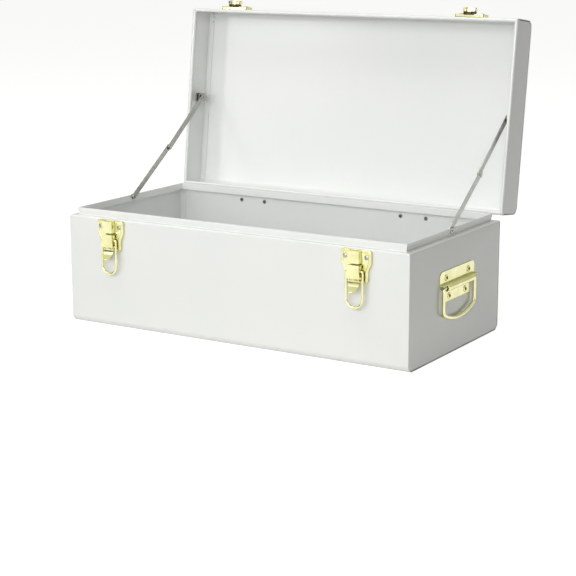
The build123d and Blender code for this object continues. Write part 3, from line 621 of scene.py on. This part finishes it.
def loose_boxes(node: str) -> list[tuple[Vector, Vector]]:
    """Finds the boxes of the separate solids in a CAD node.

    Args:
        node: the CAD node.

    Returns:
        Low and high corner of each solid, in the order of its first point.
    """
    bm = bmesh.new()
    bm.from_mesh(frame["nodes"][node].data)
    bmesh.ops.remove_doubles(bm, verts=bm.verts, dist=MERGE_DISTANCE)
    for vert in bm.verts:
        vert.tag = False
    boxes = []
    for first in bm.verts:
        if first.tag:
            continue
        first.tag = True
        waiting, points = [first], []
        while waiting:
            vert = waiting.pop()
            points.append(vert.co.copy())
            others = [edge.other_vert(vert) for edge in vert.link_edges]
            fresh = [other for other in others if not other.tag]
            for other in fresh:
                other.tag = True
            waiting += fresh
        spans = [[point[axis] for point in points] for axis in range(3)]
        boxes.append((Vector([min(span) for span in spans]), Vector([max(span) for span in spans])))
    bm.free()
    return boxes


def box_of(node: str) -> tuple[Vector, Vector]:
    """Finds the box of a whole CAD node.

    Args:
        node: the CAD node.

    Returns:
        Its low and its high corner.
    """
    spans = [[vert.co[axis] for vert in frame["nodes"][node].data.vertices] for axis in range(3)]
    return Vector([min(span) for span in spans]), Vector([max(span) for span in spans])


def inset(points: Sequence[Vector], distance: float) -> list[Vector]:
    """Moves a closed flat outline inwards.

    Args:
        points: its corners, clockwise.
        distance: how far inwards.

    Returns:
        The new corners.
    """
    moved = []
    for index, corner in enumerate(points):
        arriving = (corner - points[index - 1]).normalized()
        leaving = (points[(index + 1) % len(points)] - corner).normalized()
        first = Vector((arriving.y, -arriving.x))
        second = Vector((leaving.y, -leaving.x))
        moved.append(corner + (first + second) * distance / (1 + first.dot(second)))
    return moved


def rounded(points: Sequence[Vector], radius: float, steps: int) -> list[Vector]:
    """Rounds the corners of a closed flat outline.

    Args:
        points: its corners.
        radius: the radius of each corner.
        steps: straight steps in each corner.

    Returns:
        The points of the rounded outline.
    """
    path = []
    for index, corner in enumerate(points):
        before = (points[index - 1] - corner).normalized()
        after = (points[(index + 1) % len(points)] - corner).normalized()
        half = before.angle(after) / 2
        middle = corner + (before + after).normalized() * radius / math.sin(half)
        start = corner + before * radius / math.tan(half) - middle
        end = corner + after * radius / math.tan(half) - middle
        for step in range(steps + 1):
            path.append(middle + start.lerp(end, step / steps).normalized() * radius)
    return path


def joined_rings(rings: Sequence[Sequence[Vector]]) -> bmesh.types.BMesh:
    """Joins rings of points into a closed loop of tube.

    Args:
        rings: the rings in order, all with as many points.

    Returns:
        The tube.
    """
    bm = bmesh.new()
    rows = [[bm.verts.new(point) for point in ring] for ring in rings]
    for index, row in enumerate(rows):
        following = rows[(index + 1) % len(rows)]
        for corner, vert in enumerate(row):
            after = (corner + 1) % len(row)
            bm.faces.new((vert, row[after], following[after], following[corner]))
    bmesh.ops.recalc_face_normals(bm, faces=bm.faces)
    return bm


def lathed(profile: Sequence[tuple[float, float]], steps: int) -> bmesh.types.BMesh:
    """Spins a profile about Z.

    Args:
        profile: its (radius, height) points.
        steps: steps in the full turn.

    Returns:
        The turned shape.
    """
    bm = bmesh.new()
    verts = [bm.verts.new((radius, 0, height)) for radius, height in profile]
    edges = [bm.edges.new(pair) for pair in zip(verts, verts[1:])]
    bmesh.ops.spin(
        bm,
        geom=verts + edges,
        cent=(0, 0, 0),
        axis=(0, 0, 1),
        angle=2 * math.pi,
        steps=steps,
        use_merge=True,
    )
    bmesh.ops.remove_doubles(bm, verts=bm.verts, dist=MERGE_DISTANCE)
    bmesh.ops.recalc_face_normals(bm, faces=bm.faces)
    return bm


def cut_from_sheet(
    path: Sequence[Vector], thickness: float, easing: float, segments: int
) -> bmesh.types.BMesh:
    """Makes a flat piece of sheet with eased edges, lying on the XY plane.

    Args:
        path: its outline in X and Y.
        thickness: the sheet's thickness, upwards.
        easing: the width of the eased edges.
        segments: segments in each eased edge.

    Returns:
        The piece.
    """
    bm = bmesh.new()
    face = bm.faces.new([bm.verts.new((point.x, point.y, 0)) for point in path])
    grown = bmesh.ops.extrude_face_region(bm, geom=[face])["geom"]
    raised = [item for item in grown if isinstance(item, bmesh.types.BMVert)]
    bmesh.ops.translate(bm, verts=raised, vec=(0, 0, thickness))
    bmesh.ops.recalc_face_normals(bm, faces=bm.faces)
    sharp = [edge for edge in bm.edges if edge.calc_face_angle(0) > CREASE_ANGLE]
    bmesh.ops.bevel(
        bm, geom=sharp, offset=easing, segments=segments, affect="EDGES", profile=0.5, material=-1
    )
    bmesh.ops.recalc_face_normals(bm, faces=bm.faces)
    return bm


def scattered(shape: bmesh.types.BMesh, places: Sequence[Matrix]) -> bmesh.types.BMesh:
    """Copies a shape to several places in one mesh.

    Args:
        shape: the shape; it is freed.
        places: where each copy goes.

    Returns:
        The mesh with every copy.
    """
    mesh = bpy.data.meshes.new("one_copy")
    shape.to_mesh(mesh)
    shape.free()
    bm = bmesh.new()
    for place in places:
        count = len(bm.verts)
        bm.from_mesh(mesh)
        bm.verts.ensure_lookup_table()
        bmesh.ops.transform(bm, matrix=place, verts=bm.verts[count:])
    bpy.data.meshes.remove(mesh)
    return bm


@dataclass
class Assembly:
    """What every sub-assembly has: the finishes, and how the edges of its sheet are eased."""

    paints: Paintbox
    easing: float = 0.00022
    easing_segments: int = 2

    def finished(
        self,
        bm: bmesh.types.BMesh,
        name: str,
        carrier: str,
        finish: Finish,
        stands_for: Sequence[str] = (),
    ) -> bpy.types.Object:
        """Turns a bmesh into a dressed piece that rides with a CAD node's body.

        Args:
            bm: the shape, in the trunk's frame; it is freed.
            name: the piece's name.
            carrier: the CAD node whose body carries it.
            finish: the piece's finish.
            stands_for: the CAD nodes that it replaces.

        Returns:
            The new object.
        """
        mesh = bpy.data.meshes.new(name)
        bm.to_mesh(mesh)
        bm.free()
        mesh.shade_smooth()
        mesh.set_sharp_from_angle(angle=CREASE_ANGLE)
        mesh.materials.append(self.paints.get(finish))
        piece = bpy.data.objects.new(name, mesh)
        bpy.context.scene.collection.objects.link(piece)
        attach(piece, frame["nodes"][carrier]["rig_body"])
        if stands_for:
            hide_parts(*stands_for)
        LOG.info("made %s", name)
        return piece

    def eased(self, node: str, reshape: Reshape | None = None) -> bpy.types.Object:
        """Stands a copy with eased edges in for a CAD node.

        Args:
            node: the CAD node.
            reshape: change to the copy's mesh before its edges are eased.

        Returns:
            The new piece.
        """
        bm = bmesh.new()
        bm.from_mesh(frame["nodes"][node].data)
        bmesh.ops.remove_doubles(bm, verts=bm.verts, dist=MERGE_DISTANCE)
        bmesh.ops.dissolve_limit(bm, angle_limit=FLAT_ANGLE, verts=bm.verts, edges=bm.edges)
        if reshape:
            reshape(bm)
        piece = self.finished(bm, node + "_eased", node, FINISH_BY_SLOT[SLOT_BY_NODE[node]], [node])
        bevel = piece.modifiers.new("eased edges", "BEVEL")
        bevel.width = self.easing
        bevel.segments = self.easing_segments
        bevel.limit_method = "ANGLE"
        bevel.angle_limit = CREASE_ANGLE
        bevel.harden_normals = True
        return piece

    def dressed(self, node: str) -> None:
        """Gives a CAD node that is shown as it is its material.

        Args:
            node: the CAD node.
        """
        slots = frame["nodes"][node].data.materials
        slots.clear()
        slots.append(self.paints.get(FINISH_BY_SLOT[SLOT_BY_NODE[node]]))
        LOG.info("dressed %s", node)


# ---------------------------------------------------------------- sub-assemblies


@dataclass
class Carcass(Assembly):
    """Body of the trunk: the wrap and its two nested ends."""

    nodes: tuple[str, ...] = ("body_shell_wrap", "body_end_left", "body_end_right")

    def build(self) -> None:
        """Makes the body's sheets with eased edges."""
        for node in self.nodes:
            self.eased(node)


@dataclass(frozen=True)
class LidSwing:
    """How the lid stands: its hinge axis and the angle it is open at."""

    axis_y: float = 0.1296
    axis_z: float = 0.1440
    angle: float = math.radians(97.3)

    def matrix(self) -> Matrix:
        """Gives the turn from the closed to the open lid.

        Returns:
            The turn about the hinge axis.
        """
        axis = Matrix.Translation((0, self.axis_y, self.axis_z))
        return axis @ Matrix.Rotation(-self.angle, 4, "X") @ axis.inverted()


@dataclass
class Lid(Assembly):
    """Lid: the wrap, its two nested ends and the weld marks in its front corners."""

    nodes: tuple[str, ...] = ("lid_shell_wrap", "lid_end_left", "lid_end_right")
    swing: LidSwing = LidSwing()
    flange_edge: float = 0.2424
    bend_middle_y: float = -0.1150
    bend_middle_z: float = 0.1800
    bend_radius: float = 0.0083
    mark_radius: float = 0.00075
    mark_height: float = 0.00022
    mark_shoulder: float = 0.6
    mark_shoulder_rise: float = 0.75
    mark_steps: int = 14
    mark_turns: tuple[float, ...] = (math.radians(40), math.radians(4))
    mark_run: float = 0.0068

    def mark_places(self, side: Side) -> list[Matrix]:
        """Finds the weld marks of one front corner: two on the bend and one on the flat.

        Args:
            side: the corner's side.

        Returns:
            Their places on the open lid.
        """
        places = []
        for turn in self.mark_turns:
            out = Vector((0, -math.sin(turn), math.cos(turn)))
            spot = Vector((0, self.bend_middle_y, self.bend_middle_z)) + out * self.bend_radius
            places.append((spot, out))
        places.append((places[-1][0] + Vector((0, self.mark_run, 0)), Vector((0, 0, 1))))
        matrices = []
        for spot, out in places:
            spot.x = side.value * self.flange_edge
            turn = (-out).to_track_quat("Z", "Y").to_matrix().to_4x4()
            matrices.append(self.swing.matrix() @ Matrix.Translation(spot) @ turn)
        return matrices

    def build(self) -> None:
        """Makes the lid's sheets with eased edges and its weld marks."""
        for node in self.nodes:
            self.eased(node)
        dome = [
            (0.0, self.mark_height),
            (self.mark_radius * self.mark_shoulder, self.mark_height * self.mark_shoulder_rise),
            (self.mark_radius, 0.0),
            (self.mark_radius, -self.mark_height),
            (0.0, -self.mark_height),
        ]
        for side in Side:
            marks = scattered(lathed(dome, self.mark_steps), self.mark_places(side))
            self.finished(marks, "lid_weld_marks_" + side.word, "lid_end_" + side.word, WELD_SCALE)


@dataclass
class Hinge(Assembly):
    """One hinge: its two leaves on their pin."""

    side: Side = Side.LEFT

    def build(self) -> None:
        """Makes both leaves and dresses the pin."""
        for prefix in ("hinge_body_leaf_", "hinge_lid_leaf_"):
            self.eased(prefix + self.side.word)
        self.dressed("hinge_pin_" + self.side.word)


@dataclass
class Latch(Assembly):
    """One draw latch: plate with its raised border, lever with its tab, pin and wire loop."""

    side: Side = Side.LEFT
    half_width: float = 0.02025
    neck_half_width: float = 0.0160
    taper_drop: float = 0.0160
    neck_drop: float = 0.0260
    plate_depth: float = 0.0040
    border_inset: float = 0.0024
    border_corner: float = 0.0016
    border_half_width: float = 0.0009
    border_height: float = 0.0006
    border_steps: int = 6
    border_sink: float = 0.00008
    lever_height: float = 0.0172
    tab_height: float = 0.0157
    tab_half_width: float = 0.0077
    tab_fullness: float = 2.4
    tab_last_share: float = 0.98
    tab_cuts: int = 14
    plain_half_width: float = 0.00625
    plain_tip_half_width: float = 0.0031
    plain_straight: float = 0.0076

    def border(self) -> bmesh.types.BMesh:
        """Makes the raised line that runs round the plate inside its edge.

        Returns:
            The line as a low half-round bead.
        """
        low, high = box_of("latch_plate_" + self.side.word)
        back = box_of("body_shell_wrap")[0].y
        middle = (low.x + high.x) / 2
        bottom = low.z - high.z
        half = [
            Vector((self.half_width, 0)),
            Vector((self.half_width, -self.taper_drop)),
            Vector((self.neck_half_width, -self.neck_drop)),
            Vector((self.neck_half_width, bottom)),
        ]
        corners = half + [Vector((-point.x, point.y)) for point in reversed(half)]
        path = rounded(inset(corners, self.border_inset), self.border_corner, self.border_steps)
        rings = []
        for index, point in enumerate(path):
            along = (path[(index + 1) % len(path)] - path[index - 1]).normalized()
            across = Vector((along.y, -along.x))
            ring = []
            for step in range(self.border_steps + 1):
                turn = math.pi * step / self.border_steps
                spot = point + across * self.border_half_width * math.cos(turn)
                rise = self.border_height * math.sin(turn) - self.border_sink
                depth = back - self.plate_depth - rise
                ring.append(Vector((middle + spot.x, depth, high.z + spot.y)))
            rings.append(ring)
        return joined_rings(rings)

    def shield_tab(self, bm: bmesh.types.BMesh) -> None:
        """Gives the lever's plain finger tab its rounded shield outline.

        Args:
            bm: the lever's mesh, changed in place.
        """
        low, high = box_of("latch_lever_" + self.side.word)
        middle = (low.x + high.x) / 2
        top = high.z - self.lever_height
        for cut in range(1, self.tab_cuts):
            level = top - self.tab_height * cut / self.tab_cuts
            geometry = bm.verts[:] + bm.edges[:] + bm.faces[:]
            bmesh.ops.bisect_plane(
                bm, geom=geometry, dist=MERGE_DISTANCE, plane_co=(0, 0, level), plane_no=(0, 0, 1)
            )
        for vert in bm.verts:
            drop = top - vert.co.z
            if drop > -MERGE_DISTANCE:
                share = max(min(drop / self.tab_height, self.tab_last_share), 0)
                bulge = (1 - share**self.tab_fullness) ** (1 / self.tab_fullness)
                wanted = self.tab_half_width * bulge
                taper = max(drop - self.plain_straight, 0) / (self.tab_height - self.plain_straight)
                narrowing = (self.plain_half_width - self.plain_tip_half_width) * taper
                plain = self.plain_half_width - narrowing
                vert.co.x = middle + (vert.co.x - middle) * wanted / plain

    def build(self) -> None:
        """Makes the plate with its border, the lever and the loop, and dresses the pin."""
        word = self.side.word
        self.eased("latch_plate_" + word)
        self.finished(self.border(), "latch_border_" + word, "latch_plate_" + word, BRASS)
        self.eased("latch_lever_" + word, self.shield_tab)
        self.eased("latch_loop_" + word)
        self.dressed("latch_lever_pin_" + word)


@dataclass
class Keeper(Assembly):
    """One keeper on the lid: tray and hood, the hood's end wall, and a near-black sheet in its slot
    as painted shade.
    """

    side: Side = Side.LEFT
    swing: LidSwing = LidSwing()
    hood_low: float = 0.1442
    hood_half_width: float = 0.0083
    plate_depth: float = 0.0040
    slot_depth: float = 0.0068
    slot_run: float = 0.0050
    hood_depth: float = 0.0119
    slot_back: float = 0.0022
    wall: float = 0.0012
    corner: float = 0.0012
    corner_steps: int = 4

    def wall_across(self, level: float, near: float, far: float) -> bmesh.types.BMesh:
        """Makes a wall across the hood.

        Args:
            level: height of the wall's lower face, with the lid closed.
            near: how far the wall's near edge stands from the body's front.
            far: how far its outer edge stands from the body's front.

        Returns:
            The wall, on the open lid.
        """
        low, high = box_of("keeper_" + self.side.word)
        front = box_of("body_shell_wrap")[0].y
        corners = [
            Vector((self.hood_half_width, far)),
            Vector((self.hood_half_width, near)),
            Vector((-self.hood_half_width, near)),
            Vector((-self.hood_half_width, far)),
        ]
        path = rounded(corners, self.corner, self.corner_steps)
        wall = cut_from_sheet(path, self.wall, self.easing, self.easing_segments)
        middle = (low.x + high.x) / 2
        stand = Matrix(((1, 0, 0, middle), (0, -1, 0, front), (0, 0, 1, level), (0, 0, 0, 1)))
        bmesh.ops.transform(wall, matrix=self.swing.matrix() @ stand, verts=wall.verts)
        bmesh.ops.recalc_face_normals(wall, faces=wall.faces)
        return wall

    def dull_slot(self, bm: bmesh.types.BMesh) -> None:
        """Marks the hood's root beside the slot for the second material, the near-black brass that
        paints shade there.

        Args:
            bm: the keeper's mesh, changed in place.
        """
        front = box_of("body_shell_wrap")[0].y
        swing = self.swing.matrix()
        geometry = bm.verts[:] + bm.edges[:] + bm.faces[:]
        bmesh.ops.bisect_plane(
            bm,
            geom=geometry,
            dist=MERGE_DISTANCE,
            plane_co=swing @ Vector((0, front - self.slot_depth, 0)),
            plane_no=swing.to_3x3() @ Vector((0, 1, 0)),
        )
        back = swing.inverted()
        # faces in the slot's root take the near-black material, painted shade
        for face in bm.faces:
            spot = back @ face.calc_center_median()
            in_slot = self.plate_depth < front - spot.y < self.slot_depth
            if in_slot and spot.z < self.hood_low + self.slot_run:
                face.material_index = 1

    def build(self) -> None:
        """Makes the keeper with its slot root in painted shade, the end wall of its hood, and a
        near-black sheet at the back of its slot as painted shade.
        """
        node = "keeper_" + self.side.word
        tray = self.eased(node, self.dull_slot)
        # the second material is the near-black brass, painted shade for the slot's root
        tray.data.materials.append(self.paints.get(SHADE_BRASS))
        hood_end = self.wall_across(self.hood_low, self.slot_depth, self.hood_depth)
        self.finished(hood_end, "keeper_hood_end_" + self.side.word, node, BRASS)
        # painted shade: a near-black sheet behind the slot stands in for the shade inside it
        level = self.hood_low + self.slot_back
        near, far = self.plate_depth - self.wall, self.slot_depth + self.wall * 2
        slot_back = self.wall_across(level, near, far)
        self.finished(slot_back, "keeper_slot_back_" + self.side.word, node, SHADE_BRASS)


@dataclass
class Handle(Assembly):
    """One handle: plate, bail and the blind bottoms of its hollow rivets, near-black as painted
    shade.
    """

    side: Side = Side.LEFT
    bore: float = 0.00235
    cup_depth: float = 0.0024
    cup_hollow: float = 0.0006
    cup_thickness: float = 0.0012
    cup_middle: float = 0.6
    cup_steps: int = 20

    def cups(self) -> bmesh.types.BMesh:
        """Makes the dished bottom in the bore of each hollow rivet on this side.

        Returns:
            The four bottoms.
        """
        profile = [
            (0.0, -self.cup_depth - self.cup_hollow),
            (self.bore * self.cup_middle, -self.cup_depth - self.cup_hollow * self.cup_middle),
            (self.bore, -self.cup_depth),
            (self.bore, -self.cup_depth - self.cup_thickness),
            (0.0, -self.cup_depth - self.cup_thickness),
        ]
        outward = Vector((self.side.value, 0, 0))
        turn = outward.to_track_quat("Z", "Y").to_matrix().to_4x4()
        places = []
        for low, high in loose_boxes("handle_rivets"):
            middle = (low + high) / 2
            if middle.x * self.side.value > 0:
                middle.x = high.x if self.side is Side.RIGHT else low.x
                places.append(Matrix.Translation(middle) @ turn)
        return scattered(lathed(profile, self.cup_steps), places)

    def build(self) -> None:
        """Makes the plate, the bail and the rivets' blind bottoms."""
        word = self.side.word
        self.eased("handle_plate_" + word)
        self.eased("handle_bail_" + word)
        # painted shade: the bottoms take the near-black brass so that the bores look dark
        self.finished(self.cups(), "handle_rivet_cups_" + word, "handle_plate_" + word, SHADE_BRASS)


@dataclass
class Stay(Assembly):
    """One folding lid stay: two links, the lid's bracket and both halves of the middle rivet."""

    side: Side = Side.LEFT

    def build(self) -> None:
        """Makes the links and the bracket, and dresses the middle rivet."""
        for prefix in ("stay_lower_", "stay_upper_", "stay_bracket_"):
            self.eased(prefix + self.side.word)
        for prefix in ("stay_rivet_outer_", "stay_rivet_inner_"):
            self.dressed(prefix + self.side.word)


@dataclass
class Fasteners(Assembly):
    """The rivets that fix the fittings, each kind one node."""

    nodes: tuple[str, ...] = (
        "hinge_body_rivets",
        "hinge_lid_rivets",
        "latch_rivets",
        "keeper_rivets",
        "handle_rivets",
        "stay_foot_rivets",
        "stay_top_rivets",
    )

    def build(self) -> None:
        """Dresses every kind of rivet."""
        for node in self.nodes:
            self.dressed(node)


# ---------------------------------------------------------------- studio


@dataclass(frozen=True)
class PhotoCamera:
    """The camera that took the picture, in metres and radians."""

    place: Colour = (1.08487, -1.74671, 0.51968)
    yaw: float = 0.5524
    pitch: float = 0.2248
    roll: float = -0.002
    focal_pixels: float = 1615.07
    sensor: float = 36.0

    def build(self) -> bpy.types.Object:
        """Makes the scene's camera.

        Returns:
            The camera object.
        """
        ahead = Vector(
            (
                -math.sin(self.yaw) * math.cos(self.pitch),
                math.cos(self.yaw) * math.cos(self.pitch),
                -math.sin(self.pitch),
            )
        )
        level = Vector((math.cos(self.yaw), math.sin(self.yaw), 0))
        upright = level.cross(ahead)
        right = level * math.cos(self.roll) + upright * math.sin(self.roll)
        up = upright * math.cos(self.roll) - level * math.sin(self.roll)
        turn = Matrix((right, up, -ahead)).transposed().to_4x4()
        data = bpy.data.cameras.new("photo_camera")
        data.sensor_width = self.sensor
        data.lens = self.focal_pixels / IMAGE_PIXELS * self.sensor
        camera = bpy.data.objects.new("photo_camera", data)
        camera.matrix_world = Matrix.Translation(self.place) @ turn
        bpy.context.scene.collection.objects.link(camera)
        bpy.context.scene.camera = camera
        return camera


@dataclass(frozen=True)
class SoftBox:
    """One large soft lamp aimed at the trunk."""

    name: str
    place: Colour
    width: float
    height: float
    power: float
    aim: Colour = (0.0, 0.0, 0.17)

    def build(self) -> bpy.types.Object:
        """Makes the lamp.

        Returns:
            The lamp object.
        """
        data = bpy.data.lights.new(self.name, "AREA")
        data.shape = "RECTANGLE"
        data.size = self.width
        data.size_y = self.height
        data.energy = self.power
        lamp = bpy.data.objects.new(self.name, data)
        lamp.location = self.place
        facing = Vector(self.aim) - Vector(self.place)
        lamp.rotation_euler = facing.to_track_quat("-Z", "Y").to_euler()
        bpy.context.scene.collection.objects.link(lamp)
        return lamp


@dataclass(frozen=True)
class Studio:
    """Plain pale floor, white surroundings and soft lamps."""

    floor_size: float = 40.0
    floor_colour: Colour = (0.55, 0.55, 0.52)
    floor_patch_shade: float = 0.99
    floor_patch_scale: float = 3.0
    floor_roughness: float = 0.9
    floor_glow: float = 0.90
    shade_tint: Colour = (0.98, 1.0, 0.80)
    room_light: float = 0.151
    backdrop_light: float = 0.0
    room_seen: float = 0.14
    ceiling_seen: float = 0.9
    ceiling_from: float = 0.35
    ceiling_to: float = 0.6
    backdrop_seen: float = 0.687
    turn_from: float = -0.45
    turn_to: float = 0.45
    lamps: tuple[SoftBox, ...] = (
        SoftBox("key_softbox", (-1.9, -2.8, 1.6), 2.8, 2.4, 20.2),
        SoftBox("overhead_softbox", (-0.3, -0.5, 2.6), 1.6, 1.4, 26.9),
        SoftBox("right_softbox", (1.6, -1.6, 1.9), 1.2, 1.0, 4.5),
        SoftBox("front_softbox", (0.5, -2.9, 1.0), 3.0, 1.8, 53.0),
        SoftBox("window_glow", (-1.84, -2.48, 0.82), 0.45, 0.22, 3.0),
        SoftBox("side_softbox", (2.6, -1.9, 0.9), 1.0, 0.9, 1.5),
    )

    def reflected(self, bench: Bench) -> bpy.types.NodeSocket:
        """Gives 1 for what a mirror or glass shows, and 0 for light on the object."""
        path = bench.add("LightPath")
        return bench.larger(path.outputs["Is Glossy Ray"], path.outputs["Is Transmission Ray"])

    def build_world(self) -> None:
        """Makes the surroundings: a white backdrop behind the trunk and a dimmer room before it."""
        world = bpy.data.worlds.new("studio")
        world.use_nodes = True
        bench = Bench(world.node_tree)
        background = next(n for n in world.node_tree.nodes if n.type == "BACKGROUND")
        seen_by_camera = bench.add("LightPath").outputs["Is Camera Ray"]
        tint = bench.between(seen_by_camera, self.shade_tint, (1, 1, 1))
        bench.join(tint, background.inputs["Color"])
        way = bench.add("SeparateXYZ")
        bench.join(bench.add("TexCoord").outputs["Generated"], way.inputs[0])
        turn = bench.add("MapRange", interpolation_type="SMOOTHSTEP")
        bench.join(way.outputs["Y"], turn.inputs["Value"])
        turn.inputs["From Min"].default_value = self.turn_from
        turn.inputs["From Max"].default_value = self.turn_to
        light = bench.spread(turn.outputs["Result"], self.room_light, self.backdrop_light)
        low = bench.spread(turn.outputs["Result"], self.room_seen, self.backdrop_seen)
        rise = bench.add("MapRange", interpolation_type="SMOOTHSTEP")
        bench.join(way.outputs["Z"], rise.inputs["Value"])
        rise.inputs["From Min"].default_value = self.ceiling_from
        rise.inputs["From Max"].default_value = self.ceiling_to
        ceiling = bench.spread(rise.outputs["Result"], 0.0, self.ceiling_seen)
        mirrored = bench.larger(low, ceiling)
        around = bench.choose(self.reflected(bench), light, mirrored)
        bench.join(bench.larger(around, seen_by_camera), background.inputs["Strength"])
        bpy.context.scene.world = world

    def build_floor(self) -> None:
        """Makes the floor, self-lit where it is seen, so that it stays white past the lamps."""
        material, bench, shader = new_surface("studio_floor")
        at = bench.add("TexCoord").outputs["Object"]
        noise = bench.add("TexNoise", in_Scale=self.floor_patch_scale)
        bench.join(at, noise.inputs["Vector"])
        shade = tuple(part * self.floor_patch_shade for part in self.floor_colour)
        colour = bench.between(noise.outputs[0], shade, self.floor_colour)
        bench.join(colour, shader.inputs["Base Color"])
        shader.inputs["Roughness"].default_value = self.floor_roughness
        shader.inputs["Specular IOR Level"].default_value = 0.0
        shader.inputs["Emission Color"].default_value = (1, 1, 1, 1)
        seen = bench.larger(self.reflected(bench), bench.add("LightPath").outputs["Is Camera Ray"])
        bench.join(bench.spread(seen, 0.0, self.floor_glow), shader.inputs["Emission Strength"])
        bm = bmesh.new()
        bmesh.ops.create_grid(bm, x_segments=1, y_segments=1, size=self.floor_size / 2)
        mesh = bpy.data.meshes.new("floor")
        bm.to_mesh(mesh)
        bm.free()
        mesh.materials.append(material)
        floor = bpy.data.objects.new("floor", mesh)
        bpy.context.scene.collection.objects.link(floor)

    def build(self) -> None:
        """Sets up the whole studio and the camera."""
        bpy.context.scene.view_settings.view_transform = "Standard"
        self.build_world()
        self.build_floor()
        for lamp in self.lamps:
            lamp.build()
        PhotoCamera().build()


# ---------------------------------------------------------------- the whole trunk


def main() -> None:
    """Builds the studio and every sub-assembly in order, and logs what was made."""
    logging.basicConfig(level=logging.INFO, format="%(name)s: %(message)s")
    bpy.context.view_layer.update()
    Studio().build()
    paints = Paintbox()
    whole: list[Assembly] = [Carcass(paints), Lid(paints), Fasteners(paints)]
    for side in Side:
        whole += [kind(paints, side=side) for kind in (Hinge, Latch, Keeper, Handle, Stay)]
    for assembly in whole:
        assembly.build()


if __name__ == "__main__":
    main()
